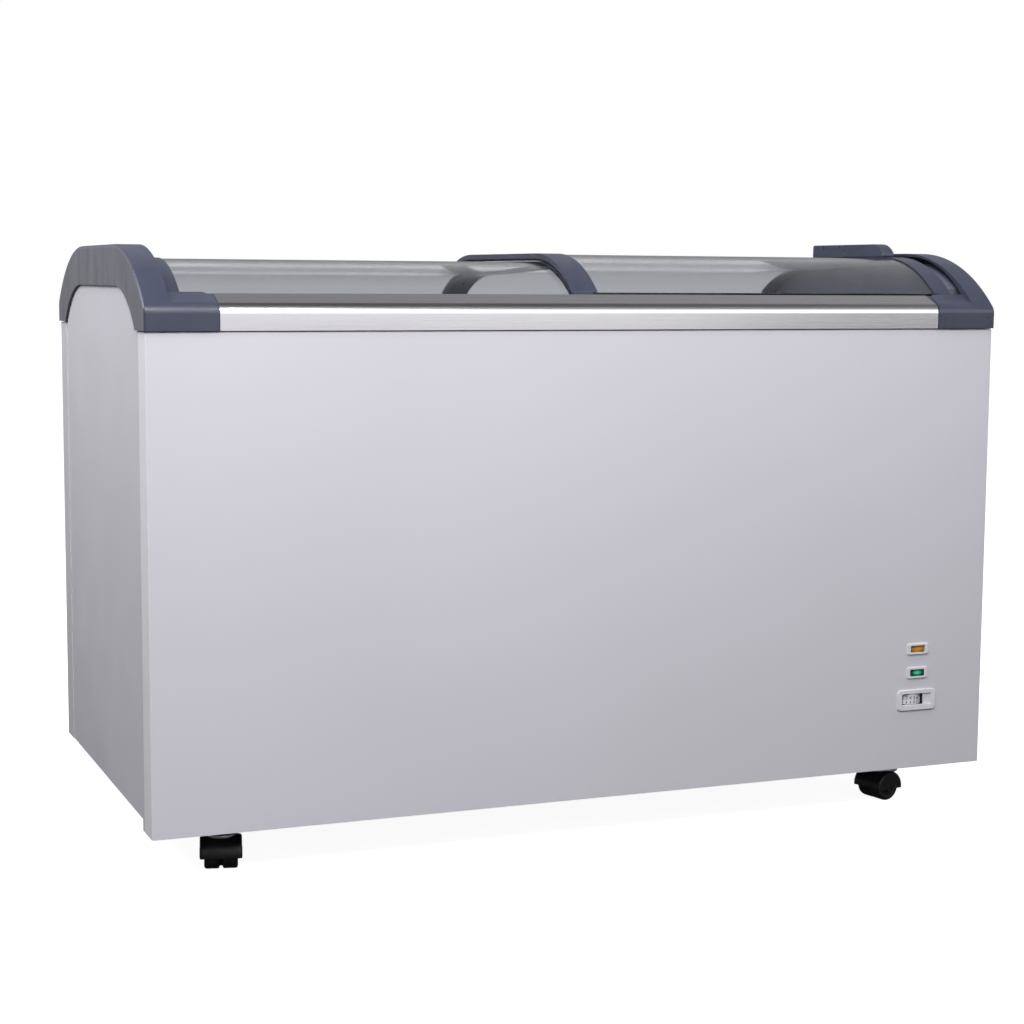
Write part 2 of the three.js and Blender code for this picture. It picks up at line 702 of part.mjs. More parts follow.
function makeControls() {
  part("power_switch_bezel", bezel(SWITCH_Z, [39, 18], [33, 13], [26, 11], 0.9), "whitePlastic");
  const rocker = [
    [-11.6, -4],
    [0, -2.4],
    [11.6, -4],
    [12.1, 2],
    [9, 5],
    [-9, 5],
    [-12.1, 2],
  ].map(([u, v]) => new THREE.Vector2(u, v).rotateAround(new THREE.Vector2(), -ROCKER_TILT));
  const outline = rocker.map(({ x, y }) => [CONTROLS_X + x, toY(6) + y]);
  part("power_switch_rocker", extrude("z", outline, SWITCH_Z - 5, SWITCH_Z + 5), "amber");

  part("indicator_lamp_bezel", bezel(LAMP_Z, [38, 18.5], [33, 13], [26, 11], 0.9), "whitePlastic");
  const lens = roundedRectangle(CONTROLS_X, LAMP_Z, 25.4, 10.4, 1.2, 2);
  part("indicator_lamp_lens", extrude("y", lens, toY(1.1), toY(12)), "green");

  part("thermostat_bezel", thermostatBezel(), "whitePlastic");
  const { x, z, radius, height, depth } = DIAL;
  const centre = [x, toY(depth), z];
  const dial = cylinder("z", radius, height, centre, 36);
  part("thermostat_dial", cut(dial, cylinder("z", 3, height + 2, centre, 12)), "whitePlastic");
  const pinLength = 4;
  const arm = (sign) => {
    const z0 = z + sign * (height / 2 + 0.6);
    const z1 = z0 + sign * 2.5;
    const plate = block(x - 10, x + 10, depth - 8, 60, Math.min(z0, z1), Math.max(z0, z1));
    const pin = cylinder("z", 2.6, pinLength + 1, [x, toY(depth), z0 - sign * (pinLength / 2 - 0.5)], 12);
    return join([plate, pin]);
  };
  const back = block(x - 20, x + 20, 56, 80, z - 14, z + 14);
  part("thermostat_body", join([back, arm(1), arm(-1)]), "blackPlastic");
}

function thermostatBezel() {
  const window = roundedRectangle(CONTROLS_X, DIAL.z, 54, 18, 2, 2);
  const plate = roundedRectangle(CONTROLS_X, THERMOSTAT_Z, 70, 33.5, 5, 4);
  const spigot = roundedRectangle(CONTROLS_X, THERMOSTAT_Z, 58.5, 26.5, 2, 2);
  return join([
    extrude("y", plate, toY(0.5), toY(2.7), [window]),
    extrude("y", spigot, toY(2.6), toY(5), [window]),
  ]);
}

// ---- machine compartment ----
function makeCompressor() {
  const [x, y] = [COMPRESSOR.x, toY(COMPRESSOR.depth)];
  const pot = [
    [0, 96],
    [60, 98],
    [82, 112],
    [88, 130],
    [88, 210],
    [84, 240],
    [62, 264],
    [30, 274],
    [0, 276],
  ];
  const foot = COMPRESSOR.foot;
  const feet = extrude("z", roundedRectangle(x, y, 220, 150, 20), foot, foot + 3.5);
  const stand = turned([[0, 3], [40, 3], [46, 18], [0, 18]], [x, y, foot], 16);
  part("compressor", join([turned(pot, [x, y, 0], 28), stand, feet]), "blackPlastic");
  const { depth0, depth1, halfWidth, z0, z1 } = RELAY_BOX;
  part("start_relay_box", block(x - halfWidth, x + halfWidth, depth0, depth1, z0, z1), "blackPlastic");
}

function makeCondenser() {
  const { x0, x1, depth0, depth1, z0, z1 } = CONDENSER;
  const fins = [];
  for (let x = x0; x <= x1 - 2; x += 35) {
    fins.push(block(x, x + 2, depth0, depth1, z0, z1));
  }
  const tubes = [];
  for (let z = z0 + 35; z < z1; z += 55) {
    tubes.push(cylinder("x", 6, x1 - x0 + 12, [(x0 + x1) / 2, toY((depth0 + depth1) / 2), z], 8));
  }
  part("condenser", join([...fins, ...tubes]), "aluminium");
}

function makeFan() {
  const { x, depth, z, radius } = FAN;
  const plate = roundedRectangle(x, z, 240, 230, 10);
  const circle = (r, n) => Array.from({ length: n }, (_, i) => {
    const angle = (i / n) * 2 * Math.PI;
    return [x + r * Math.cos(angle), z + r * Math.sin(angle)];
  });
  const shroud = join([
    extrude("y", plate, toY(depth - 20), toY(depth - 17), [circle(radius + 6, 32)]),
    extrude("y", circle(radius + 9, 32), toY(depth - 18), toY(depth + 14), [circle(radius + 6, 32)]),
  ]);
  part("fan_shroud", shroud, "blackPlastic");

  const blades = [];
  for (let i = 0; i < 5; i += 1) {
    const blade = new THREE.BoxGeometry(radius - 22, 2.5, 46);
    blade.rotateX(THREE.MathUtils.degToRad(28));
    blade.translate((radius + 22) / 2, 0, 0);
    blade.rotateY((i / 5) * 2 * Math.PI);
    blade.translate(x, toY(depth), z);
    blades.push(solidOf(blade));
  }
  const hub = cylinder("y", FAN.hub, 24, [x, toY(depth), z], 20);
  part("fan_blade", join([hub, ...blades]), "blackPlastic");
  const motor = cylinder("y", FAN.motorRadius, 50, [x, toY(depth + 39), z], 20);
  const bracket = block(x - 118, x + 118, depth + 66, depth + 70, z - 8, z + 8);
  const legs = [-1, 1].map((side) => {
    const inner = x + side * 110;
    const [x0, x1] = [Math.min(inner, inner + side * 8), Math.max(inner, inner + side * 8)];
    return block(x0, x1, depth - 16.6, depth + 70, z - 8, z + 8);
  });
  const boss = cylinder("y", 12, 8, [x, toY(depth + 66), z], 12);
  part("fan_motor", join([motor, boss, bracket, ...legs]), "zincSteel");
}

function makeCompartmentFittings() {
  const drier = [[0, 0], [4, 2], [4, 10], [11, 18], [11, 84], [4, 92], [4, 100], [0, 102]];
  part("filter_drier", turned(drier, [DRIER.x, toY(DRIER.depth), DRIER.z], 16), "copper");
  const { x0, x1, depth0, depth1, z0, z1, wall } = TRAY;
  const tray = block(x0, x1, depth0, depth1, z0, z1);
  const basin = block(x0 + wall, x1 - wall, depth0 + wall, depth1 - wall, z0 + wall, z1 + wall);
  part("drip_tray", cut(tray, basin), "blackPlastic");
  const back = DEPTH - PANEL_INSET;
  const gland = join([
    cylinder("y", GLAND.hole - 0.5, 14, [GLAND.x, toY(back - 5), GLAND.z], 20),
    cylinder("y", GLAND.hole + 3, 2.5, [GLAND.x, toY(back + 1.6), GLAND.z], 20),
  ]);
  const cordHole = cylinder("y", GLAND.cordRadius, 60, [GLAND.x, toY(back), GLAND.z], 12);
  part("cable_gland", cut(gland, cordHole), "blackPlastic");
}

// ---- casters ----
// Modelled with the swivel axis at the origin, the axle along X and the trail toward -Y.
function casterFork() {
  const axle = [0, -CASTER_TRAIL, WHEEL_RADIUS];
  const width = 2 * FORK.halfWidth;
  const under = (halfWidth, top) => block(-halfWidth, halfWidth, DEPTH / 2 - 60, DEPTH / 2 + 60, -10, top);
  const hood = cut(cylinder("x", FORK.hoodRadius, width, axle, 24), under(width, FORK.hoodFoot));
  const bosses = cylinder("x", FORK.bossRadius, width, axle, 12);
  const disc = turned([[0, 46], [23, 46], [24, 47.5], [24, 50], [22, 51.5], [0, 51.5]], [0, -9, 0], 20);
  const pinLength = SWIVEL_PIN.top - SWIVEL_PIN.bottom;
  const pin = cylinder("z", SWIVEL_PIN.radius, pinLength, [0, 0, SWIVEL_PIN.bottom + pinLength / 2], 16);
  const wheelSpace = cylinder("x", WHEEL_RADIUS + 1, 2 * FORK.space, axle, 24);
  const mouth = under(FORK.space, FORK.hoodFoot + 0.1);
  const bore = cylinder("x", FORK.bore, 80, axle, 12);
  return cut(join([hood, bosses, disc, pin]), wheelSpace, mouth, bore);
}

function casterPlate() {
  const { size, corner, bottom, top } = CASTER_PLATE;
  const plate = extrude("z", roundedRectangle(0, 0, size, size, corner), bottom, top);
  const cup = turned([[0, 53], [18, 53], [22, 56], [22, bottom + 0.5], [0, bottom + 0.5]], [0, 0, 0], 20);
  return cut(join([plate, cup]), cylinder("z", SWIVEL_PIN.radius + 0.4, 30, [0, 0, 62], 16));
}

// Two wheels on one axle, which turns in the fork's bores.
function casterWheels() {
  const r = WHEEL_RADIUS;
  const profile = [
    [0, -29.5],
    [3, -29.5],
    [3, -24],
    [r - 3, -24],
    [r, -20],
    [r, -3],
    [r - 4, -1.5],
    [r - 4, 1.5],
    [r, 3],
    [r, 20],
    [r - 3, 24],
    [3, 24],
    [3, 29.5],
    [0, 29.5],
  ].map(([radius, across]) => new THREE.Vector2(radius, across));
  const geometry = new THREE.LatheGeometry(profile, 24);
  geometry.rotateZ(-Math.PI / 2);
  geometry.translate(0, -CASTER_TRAIL, WHEEL_RADIUS);
  return solidOf(geometry);
}

function makeCaster({ name, x, depth, heading }) {
  const frame = new THREE.Group();
  frame.position.set(x, toY(depth), 0);
  frame.rotation.z = THREE.MathUtils.degToRad(heading);
  freezer.add(frame);
  part(`${name}_caster_plate`, casterPlate(), "zincSteel", frame);
  part(`${name}_caster_fork`, casterFork(), "blackPlastic", frame);
  part(`${name}_caster_wheels`, casterWheels(), "blackPlastic", frame);
}

makeFrontPanel();
makeBackPanel();
[-1, 1].forEach((side) => {
  makeSidePanel(side);
  makeEndWall(side);
  makeEndCap(side);
});
makeSideGrille();
makeBasePlate();
makeFoam();
makeLiner();
makeEvaporator();
makeDrain();
makeCollars();
makeLids();
makeControls();
makeCompressor();
makeCondenser();
makeFan();
makeCompartmentFittings();
CASTERS.forEach(makeCaster);

export default freezer;
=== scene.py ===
import json
import math

import bmesh
import bpy
from mathutils import Matrix, Vector


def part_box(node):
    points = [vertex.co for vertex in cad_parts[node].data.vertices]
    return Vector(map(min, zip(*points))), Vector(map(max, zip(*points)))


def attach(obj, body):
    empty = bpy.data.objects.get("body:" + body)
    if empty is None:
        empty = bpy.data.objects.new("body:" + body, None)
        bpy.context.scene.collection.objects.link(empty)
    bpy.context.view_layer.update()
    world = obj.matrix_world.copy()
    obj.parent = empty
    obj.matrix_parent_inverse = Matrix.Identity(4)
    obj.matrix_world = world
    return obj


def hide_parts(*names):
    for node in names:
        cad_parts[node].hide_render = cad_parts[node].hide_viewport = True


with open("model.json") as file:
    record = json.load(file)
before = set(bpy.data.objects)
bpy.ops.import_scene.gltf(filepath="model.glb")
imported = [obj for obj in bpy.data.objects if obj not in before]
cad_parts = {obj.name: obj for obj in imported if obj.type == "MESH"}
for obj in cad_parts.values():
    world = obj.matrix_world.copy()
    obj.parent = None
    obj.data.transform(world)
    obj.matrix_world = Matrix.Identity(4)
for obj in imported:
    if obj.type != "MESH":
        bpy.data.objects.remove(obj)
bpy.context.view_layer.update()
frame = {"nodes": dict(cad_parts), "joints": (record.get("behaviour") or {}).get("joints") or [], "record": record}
NODES = frame["nodes"]
MM = 0.001

# ---- what the frame says ----
JOINTS = {joint["name"]: joint for joint in frame["joints"]}
CORNERS = ("front_left", "front_right", "rear_left", "rear_right")


# ---- camera ----
CAMERA_PLACE = Vector((-1.2542, -3.0679, 0.8446))
CAMERA_AZIMUTH = math.radians(22.061)
CAMERA_PITCH = math.radians(-6.5347)
CAMERA_ROLL = math.radians(0.386)
CAMERA_LENS = 71.93


def make_camera():
    level = math.cos(CAMERA_PITCH)
    forward = Vector((
        math.sin(CAMERA_AZIMUTH) * level,
        math.cos(CAMERA_AZIMUTH) * level,
        math.sin(CAMERA_PITCH),
    ))
    right = forward.cross(Vector((0, 0, 1))).normalized()
    up = right.cross(forward)
    turned_right = right * math.cos(CAMERA_ROLL) + up * math.sin(CAMERA_ROLL)
    turned_up = up * math.cos(CAMERA_ROLL) - right * math.sin(CAMERA_ROLL)
    data = bpy.data.cameras.new("camera")
    data.sensor_width = 36
    data.lens = CAMERA_LENS
    camera = bpy.data.objects.new("camera", data)
    bpy.context.scene.collection.objects.link(camera)
    turn = Matrix((turned_right, turned_up, -forward)).transposed().to_4x4()
    camera.matrix_world = Matrix.Translation(CAMERA_PLACE) @ turn
    bpy.context.scene.camera = camera


# ---- light and floor ----
def area_light(name, place, target, size, power, tint=(1, 1, 1)):
    data = bpy.data.lights.new(name, "AREA")
    data.shape = "RECTANGLE"
    data.size, data.size_y = size
    data.energy = power
    data.color = tint
    light = bpy.data.objects.new(name, data)
    bpy.context.scene.collection.objects.link(light)
    light.location = place
    direction = Vector(target) - Vector(place)
    light.rotation_euler = direction.to_track_quat("-Z", "Y").to_euler()


def make_lights():
    area_light("key_softbox", (-1.0, -2.3, 2.7), (-0.1, -0.3, 0.6), (2.4, 1.4), 92)
    area_light("side_softbox", (-1.75, 0.1, 1.72), (-0.68, 0.05, 0.75), (0.9, 0.7), 15.5)
    area_light("top_softbox", (0.3, -0.9, 3.0), (0.2, -0.2, 0.8), (4.0, 0.7), 30)
    bpy.data.objects["top_softbox"].visible_glossy = False
    reflected_card("high_card", (1.7, -2.6, 1.72), (1.7, -0.33, 0.8), (5.2, 1.65), 40)
    reflected_card("low_card", (0.8, -4.2, 0.75), (0.8, 0, 0.75), (3.0, 0.7), 5)


def reflected_card(name, place, target, size, power):
    """A card that only polished surfaces pick up; it throws no light on matt ones."""
    area_light(name, place, target, size, power)
    bpy.data.objects[name].visible_diffuse = False
    bpy.data.objects[name].visible_transmission = False


# How bright the studio is, by the height of the direction: from straight down to straight up.
STUDIO = ((0.0, 0.02), (0.4, 0.05), (0.5, 0.3), (0.8, 0.36), (0.88, 0.28), (0.93, 0.1), (1.0, 0.06))
BEHIND_GLASS = (0.5, 0.51, 0.535)


def world_shader(tree, color):
    made = tree.nodes.new("ShaderNodeBackground")
    made.inputs["Color"].default_value = (*color, 1)
    return made


def studio_shader(tree):
    coordinates = tree.nodes.new("ShaderNodeTexCoord")
    split = tree.nodes.new("ShaderNodeSeparateXYZ")
    tree.links.new(coordinates.outputs["Generated"], split.inputs[0])
    height = tree.nodes.new("ShaderNodeMapRange")
    height.inputs["From Min"].default_value = -1
    tree.links.new(split.outputs["Z"], height.inputs["Value"])
    ramp = tree.nodes.new("ShaderNodeValToRGB")
    stops = ramp.color_ramp.elements
    while len(stops) < len(STUDIO):
        stops.new(0.5)
    for stop, (place, bright) in zip(stops, STUDIO):
        stop.position = place
        stop.color = (bright, bright, bright, 1)
    tree.links.new(height.outputs["Result"], ramp.inputs["Fac"])
    soft = tree.nodes.new("ShaderNodeBackground")
    tree.links.new(ramp.outputs["Color"], soft.inputs["Color"])
    return soft


def make_world():
    """White to the camera, pale grey through the glass, and a soft studio to everything else."""
    world = bpy.data.worlds.new("studio")
    world.use_nodes = True
    bpy.context.scene.world = world
    tree = world.node_tree
    tree.nodes.clear()
    shader = studio_shader(tree)
    path = tree.nodes.new("ShaderNodeLightPath")
    for ray, color in (("Is Transmission Ray", BEHIND_GLASS), ("Is Camera Ray", (1, 1, 1))):
        mix = tree.nodes.new("ShaderNodeMixShader")
        tree.links.new(path.outputs[ray], mix.inputs[0])
        tree.links.new(shader.outputs[0], mix.inputs[1])
        tree.links.new(world_shader(tree, color).outputs[0], mix.inputs[2])
        shader = mix
    output = tree.nodes.new("ShaderNodeOutputWorld")
    tree.links.new(shader.outputs[0], output.inputs["Surface"])


def make_floor():
    half = 30
    mesh = bpy.data.meshes.new("floor")
    corners = [(-half, -half, 0), (half, -half, 0), (half, half, 0), (-half, half, 0)]
    mesh.from_pydata(corners, [], [(0, 1, 2, 3)])
    floor = bpy.data.objects.new("floor", mesh)
    bpy.context.scene.collection.objects.link(floor)
    floor.location.z = -0.0005
    surface = Surface("pale_floor", (0.86, 0.86, 0.87), 0.75)
    surface.set("Emission Color", (1, 1, 1, 1))
    surface.set("Emission Strength", 0.92)
    surface.bump(surface.noise(180, 3), 0.1, 0.0002)
    floor.data.materials.append(surface.material)
    floor.visible_diffuse = False
    floor.visible_glossy = False


# ---- materials ----
class Surface:
    """A Principled material whose coordinates are the freezer's own, in metres."""

    def __init__(self, name, color, roughness, metallic=0.0):
        self.material = bpy.data.materials.new(name)
        self.material.use_nodes = True
        self.tree = self.material.node_tree
        self.shader = self.tree.nodes["Principled BSDF"]
        self.color = color
        self.set("Base Color", (*color, 1))
        self.set("Roughness", roughness)
        self.set("Metallic", metallic)
        self.last_bump = None

    def set(self, socket, value):
        self.shader.inputs[socket].default_value = value

    def node(self, kind, **inputs):
        made = self.tree.nodes.new(kind)
        for socket, value in inputs.items():
            made.inputs[socket.replace("_", " ")].default_value = value
        return made

    def link(self, source, target):
        self.tree.links.new(source, target)

    def place(self, stretch=(1, 1, 1)):
        coordinates = self.node("ShaderNodeTexCoord")
        mapping = self.node("ShaderNodeMapping", Scale=stretch)
        self.link(coordinates.outputs["Object"], mapping.inputs["Vector"])
        return mapping.outputs["Vector"]

    def noise(self, scale, detail=2, stretch=(1, 1, 1)):
        made = self.node("ShaderNodeTexNoise", Scale=scale, Detail=detail)
        self.link(self.place(stretch), made.inputs["Vector"])
        return made.outputs["Fac"]

    def cells(self, scale, stretch=(1, 1, 1), feature="F1"):
        made = self.node("ShaderNodeTexVoronoi", Scale=scale)
        made.feature = feature
        self.link(self.place(stretch), made.inputs["Vector"])
        return made.outputs["Distance"]

    def spread(self, source, low, high, start=0.3, end=0.7):
        made = self.node("ShaderNodeMapRange", From_Min=start, From_Max=end, To_Min=low, To_Max=high)
        self.link(source, made.inputs["Value"])
        return made.outputs["Result"]

    def facing_x(self, source):
        """Keeps a value only on faces that look along X."""
        geometry = self.tree.nodes.new("ShaderNodeNewGeometry")
        split = self.tree.nodes.new("ShaderNodeSeparateXYZ")
        self.link(geometry.outputs["Normal"], split.inputs[0])
        size = self.tree.nodes.new("ShaderNodeMath")
        size.operation = "ABSOLUTE"
        self.link(split.outputs["X"], size.inputs[0])
        mask = self.spread(size.outputs[0], 0, 1, 0.75, 0.98)
        product = self.tree.nodes.new("ShaderNodeMath")
        product.operation = "MULTIPLY"
        self.link(mask, product.inputs[0])
        self.link(source, product.inputs[1])
        return product.outputs[0]

    def near_ends(self, source):
        """Keeps a value only on the freezer's outer ends."""
        split = self.tree.nodes.new("ShaderNodeSeparateXYZ")
        self.link(self.place(), split.inputs[0])
        size = self.tree.nodes.new("ShaderNodeMath")
        size.operation = "ABSOLUTE"
        self.link(split.outputs["X"], size.inputs[0])
        product = self.tree.nodes.new("ShaderNodeMath")
        product.operation = "MULTIPLY"
        self.link(self.spread(size.outputs[0], 0, 1, END_X - 0.0022, END_X - 0.0008), product.inputs[0])
        self.link(source, product.inputs[1])
        return product.outputs[0]

    def in_front_of(self, y):
        """One in front of this distance along Y, in metres, and nothing behind it."""
        split = self.tree.nodes.new("ShaderNodeSeparateXYZ")
        self.link(self.place(), split.inputs[0])
        return self.spread(split.outputs["Y"], 1, 0, y - 0.0006, y + 0.0006)

    def tint(self, source, other, start=0.35, end=0.65):
        mix = self.tree.nodes.new("ShaderNodeMix")
        mix.data_type = "RGBA"
        old = self.shader.inputs["Base Color"]
        first, second = mix.inputs[6], mix.inputs[7]
        if old.is_linked:
            self.link(old.links[0].from_socket, first)
        else:
            first.default_value = old.default_value
        second.default_value = (*other, 1)
        self.link(self.spread(source, 0, 1, start, end), mix.inputs[0])
        self.link(mix.outputs[2], old)

    def roughen(self, source, low, high):
        self.link(self.spread(source, low, high), self.shader.inputs["Roughness"])

    def bump(self, source, strength, distance):
        made = self.node("ShaderNodeBump", Strength=strength, Distance=distance)
        self.link(source, made.inputs["Height"])
        if self.last_bump:
            self.link(self.last_bump, made.inputs["Normal"])
        self.link(made.outputs["Normal"], self.shader.inputs["Normal"])
        self.last_bump = made.outputs["Normal"]


FRONT_RETURN_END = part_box("left_side_panel")[0].y
END_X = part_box("right_end_cap")[1].x


def painted_steel():
    s = Surface("painted_steel", (0.73, 0.715, 0.79), 0.36)
    s.tint(s.noise(2.2, 3), (0.70, 0.69, 0.755))
    # Painted light: the front panel's returns, which face sideways in front of the side panels, are lightened to
    # stand for the light their corner catches.
    s.tint(s.facing_x(s.in_front_of(FRONT_RETURN_END)), (0.93, 0.915, 0.98), 0, 1)
    s.roughen(s.noise(9, 4), 0.3, 0.42)
    s.bump(s.noise(520, 2), 0.06, 0.0002)
    s.bump(s.noise(5, 1), 0.04, 0.004)
    return s


def zinc_steel():
    s = Surface("zinc_plated_steel", (0.62, 0.63, 0.65), 0.38, 1.0)
    s.tint(s.cells(140), (0.48, 0.49, 0.52), 0.1, 0.6)
    s.roughen(s.noise(60, 3), 0.28, 0.5)
    s.bump(s.noise(900, 2), 0.08, 0.0001)
    return s


def brushed_stainless():
    s = Surface("brushed_stainless", (0.76, 0.745, 0.79), 0.24, 1.0)
    grain = s.noise(1, 4, (6, 3800, 3800))
    s.tint(grain, (0.64, 0.625, 0.67), 0.4, 0.62)
    s.roughen(grain, 0.19, 0.31)
    s.bump(grain, 0.08, 0.0001)
    s.tint(s.noise(3, 2, (1, 4, 4)), (0.7, 0.685, 0.725))
    return s


def blue_plastic():
    s = Surface("moulded_blue_grey_plastic", (0.046, 0.052, 0.084), 0.3)
    s.tint(s.noise(18, 3), (0.054, 0.06, 0.094))
    # Painted reflection: the caps' outer end faces are lightened to a grey with vertical streaks, standing for the
    # studio light they reflect.
    s.tint(s.near_ends(s.facing_x(s.noise(1, 3, (110, 110, 9)))), (0.2, 0.195, 0.235), 0.0, 0.75)
    s.roughen(s.noise(25, 3), 0.27, 0.38)
    s.bump(s.noise(600, 2), 0.05, 0.0001)
    return s


def dark_plastic():
    s = Surface("dark_moulding", (0.13, 0.135, 0.19), 0.5)
    s.tint(s.noise(12, 3), (0.16, 0.165, 0.22))
    s.roughen(s.noise(30, 3), 0.42, 0.6)
    s.bump(s.noise(1200, 2), 0.12, 0.0001)
    return s


def black_plastic():
    s = Surface("black_plastic", (0.008, 0.0085, 0.011), 0.36)
    s.tint(s.noise(40, 3), (0.016, 0.016, 0.02))
    s.roughen(s.noise(80, 3), 0.28, 0.5)
    s.bump(s.noise(1600, 2), 0.14, 0.0001)
    return s


def white_plastic():
    s = Surface("white_plastic", (0.82, 0.81, 0.86), 0.38)
    s.tint(s.noise(60, 2), (0.77, 0.76, 0.81))
    s.roughen(s.noise(90, 2), 0.32, 0.46)
    s.bump(s.noise(1800, 2), 0.08, 0.0001)
    return s


def rubber():
    s = Surface("black_rubber", (0.012, 0.012, 0.014), 0.7)
    s.tint(s.noise(70, 4), (0.028, 0.027, 0.028))
    s.roughen(s.noise(120, 3), 0.55, 0.85)
    s.bump(s.noise(1100, 3), 0.25, 0.0002)
    return s


def caster_tread():
    s = Surface("caster_tread", (0.006, 0.0065, 0.009), 0.42)
    s.tint(s.noise(90, 4), (0.02, 0.019, 0.02))
    s.roughen(s.noise(60, 4), 0.32, 0.62)
    s.bump(s.noise(900, 3), 0.2, 0.0002)
    return s


def foam():
    s = Surface("insulation_foam", (0.66, 0.6, 0.36), 0.9)
    s.tint(s.noise(30, 4), (0.55, 0.47, 0.26))
    s.bump(s.cells(260), 0.6, 0.001)
    return s


def embossed_liner():
    s = Surface("embossed_aluminium", (0.78, 0.79, 0.81), 0.34, 0.85)
    s.roughen(s.noise(14, 3), 0.26, 0.42)
    s.bump(s.cells(110, feature="SMOOTH_F1"), 0.5, 0.0008)
    return s


def copper():
    s = Surface("copper_tube", (0.72, 0.33, 0.17), 0.32, 1.0)
    s.tint(s.noise(30, 4), (0.38, 0.16, 0.09))
    s.roughen(s.noise(60, 3), 0.22, 0.5)
    return s


def aluminium_fins():
    s = Surface("aluminium_fins", (0.68, 0.69, 0.71), 0.36, 1.0)
    s.tint(s.noise(20, 3), (0.5, 0.5, 0.52))
    s.bump(s.noise(1, 3, (20, 900, 20)), 0.2, 0.0002)
    return s


def black_enamel():
    s = Surface("black_enamel", (0.01, 0.01, 0.011), 0.22)
    s.roughen(s.noise(16, 3), 0.16, 0.34)
    s.bump(s.noise(380, 2), 0.12, 0.0003)
    return s


def lens(name, color, deep, glow, node, strength):
    """A moulded lens: brighter at its middle, where the lamp sits behind it."""
    low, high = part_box(node)
    middle, half = (low + high) / 2, (high - low) / 2
    s = Surface(name, color, 0.18)
    s.set("Coat Weight", 0.6)
    s.set("Coat Roughness", 0.08)
    coordinates = s.node("ShaderNodeTexCoord")
    mapping = s.node("ShaderNodeMapping")
    size = (1 / half.x, 0, 1 / half.z)
    mapping.inputs["Scale"].default_value = size
    mapping.inputs["Location"].default_value = [-m * k for m, k in zip(middle, size)]
    s.link(coordinates.outputs["Object"], mapping.inputs["Vector"])
    length = s.tree.nodes.new("ShaderNodeVectorMath")
    length.operation = "LENGTH"
    s.link(mapping.outputs["Vector"], length.inputs[0])
    s.tint(length.outputs["Value"], deep, 0.5, 1.05)
    s.set("Emission Color", (*glow, 1))
    s.link(s.spread(length.outputs["Value"], strength, 0, 0.0, 0.75), s.shader.inputs["Emission Strength"])
    s.bump(s.noise(1, 1, (900, 30, 30)), 0.2, 0.0002)
    return s


def lid_glass():
    s = Surface("lid_glass", (0.93, 0.935, 0.95), 0.02)
    s.set("Transmission Weight", 1.0)
    s.set("IOR", 1.48)
    s.bump(s.noise(3, 2), 0.03, 0.002)
    s.roughen(s.noise(6, 4), 0.01, 0.05)
    return s


def make_materials():
    made = {
        "white_steel": painted_steel(),
        "zinc_steel": zinc_steel(),
        "stainless_trim": brushed_stainless(),
        "blue_grey_plastic": blue_plastic(),
        "dark_plastic": dark_plastic(),
        "black_plastic": black_plastic(),
        "white_plastic": white_plastic(),
        "caster_tread": caster_tread(),
        "black_rubber": rubber(),
        "insulation_foam": foam(),
        "liner_sheet": embossed_liner(),
        "copper_tube": copper(),
        "aluminium_fins": aluminium_fins(),
        "black_enamel": black_enamel(),
        "amber_lens": lens(
            "amber_lens", (0.58, 0.29, 0.02), (0.24, 0.1, 0.01), (1, 0.5, 0.04),
            "power_switch_rocker", 0.1,
        ),
        "green_lens": lens(
            "green_lens", (0.0, 0.2, 0.09), (0.0, 0.035, 0.02), (0.1, 0.8, 0.42),
            "indicator_lamp_lens", 0.62,
        ),
        "lid_glass": lid_glass(),
    }
    return {slot: surface.material for slot, surface in made.items()}


MATERIALS = make_materials()


def finish_nodes():
    for name, node in NODES.items():
        slot = SLOT_OF[name]
        node.data.materials.clear()
        node.data.materials.append(MATERIALS[slot])


# ---- sizes, in millimetres: depth runs back from the front, height up from the floor ----
def span(node):
    """The node's box as ((x0, x1), (depth0, depth1), (z0, z1)) in millimetres."""
    low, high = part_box(node)
    return [(low[i] / MM + shift, high[i] / MM + shift) for i, shift in enumerate((0, HALF_DEPTH, 0))]


HALF_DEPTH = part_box("left_end_cap")[1].y / MM
HALF_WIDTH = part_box("right_end_cap")[1].x / MM
DEPTH = 2 * HALF_DEPTH
CAP_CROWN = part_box("left_end_cap")[1].z / MM
CAP_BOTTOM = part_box("left_end_cap")[0].z / MM
CAP_LENGTH = 38
CAP_WALL = 3.2
ARM_LENGTH = HALF_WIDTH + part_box("left_end_cap")[1].x / MM
CAP_CROWN_DEPTH = 205

LID_FOOT = span("right_lid_glass")[1][0]
LID_CROWN_DEPTH = 192
LID_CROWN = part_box("right_lid_end_frame")[1].z / MM
LID_FOOT_HEIGHT = 825
LID_THICKNESS = 8
LOWER_LID_DROP = LID_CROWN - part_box("left_lid_end_frame")[1].z / MM
LID_RUN = LID_CROWN_DEPTH - LID_FOOT
LID_RISE = LID_CROWN - LID_FOOT_HEIGHT
LID_RADIUS = (LID_RUN ** 2 + LID_RISE ** 2) / (2 * LID_RISE)

COLLAR_ROUND = 18
COLLAR_CENTRE = 793
COLLAR_TURN = 66
COLLAR_REACH = 30

PANEL_INSET = 3
SHEET = 1
BEND = 2.4
SEAM_INWARD = 13
CAP_RIM = 4.5

CONTROLS_X = (span("power_switch_bezel")[0][0] + span("power_switch_bezel")[0][1]) / 2
SWITCH_Z = JOINTS["power_switch_rock"]["pos_m"][2] / MM
LAMP_Z = sum(span("indicator_lamp_lens")[2]) / 2
DIAL_Z = JOINTS["thermostat_turn"]["pos_m"][2] / MM
ROCKER_TILT = math.radians(7)
DIAL_TEETH = 9
FIRST_TOOTH = math.radians(34)
TOOTH_PITCH = math.radians(7)
TOOTH_RADIUS = 0.75
DIAL_NUMBERS = 6
FIRST_NUMBER = -58
NUMBER_PITCH = 15.5
NUMERAL_HEIGHT = 6.2
WINDOW_BLANK = (567, 581.6)
WINDOW_DIVIDER = (564.6, 566.6)
WINDOW_HALF_HEIGHT = 8.7
FIN_PITCH = 5
TUBE_PITCH = 28


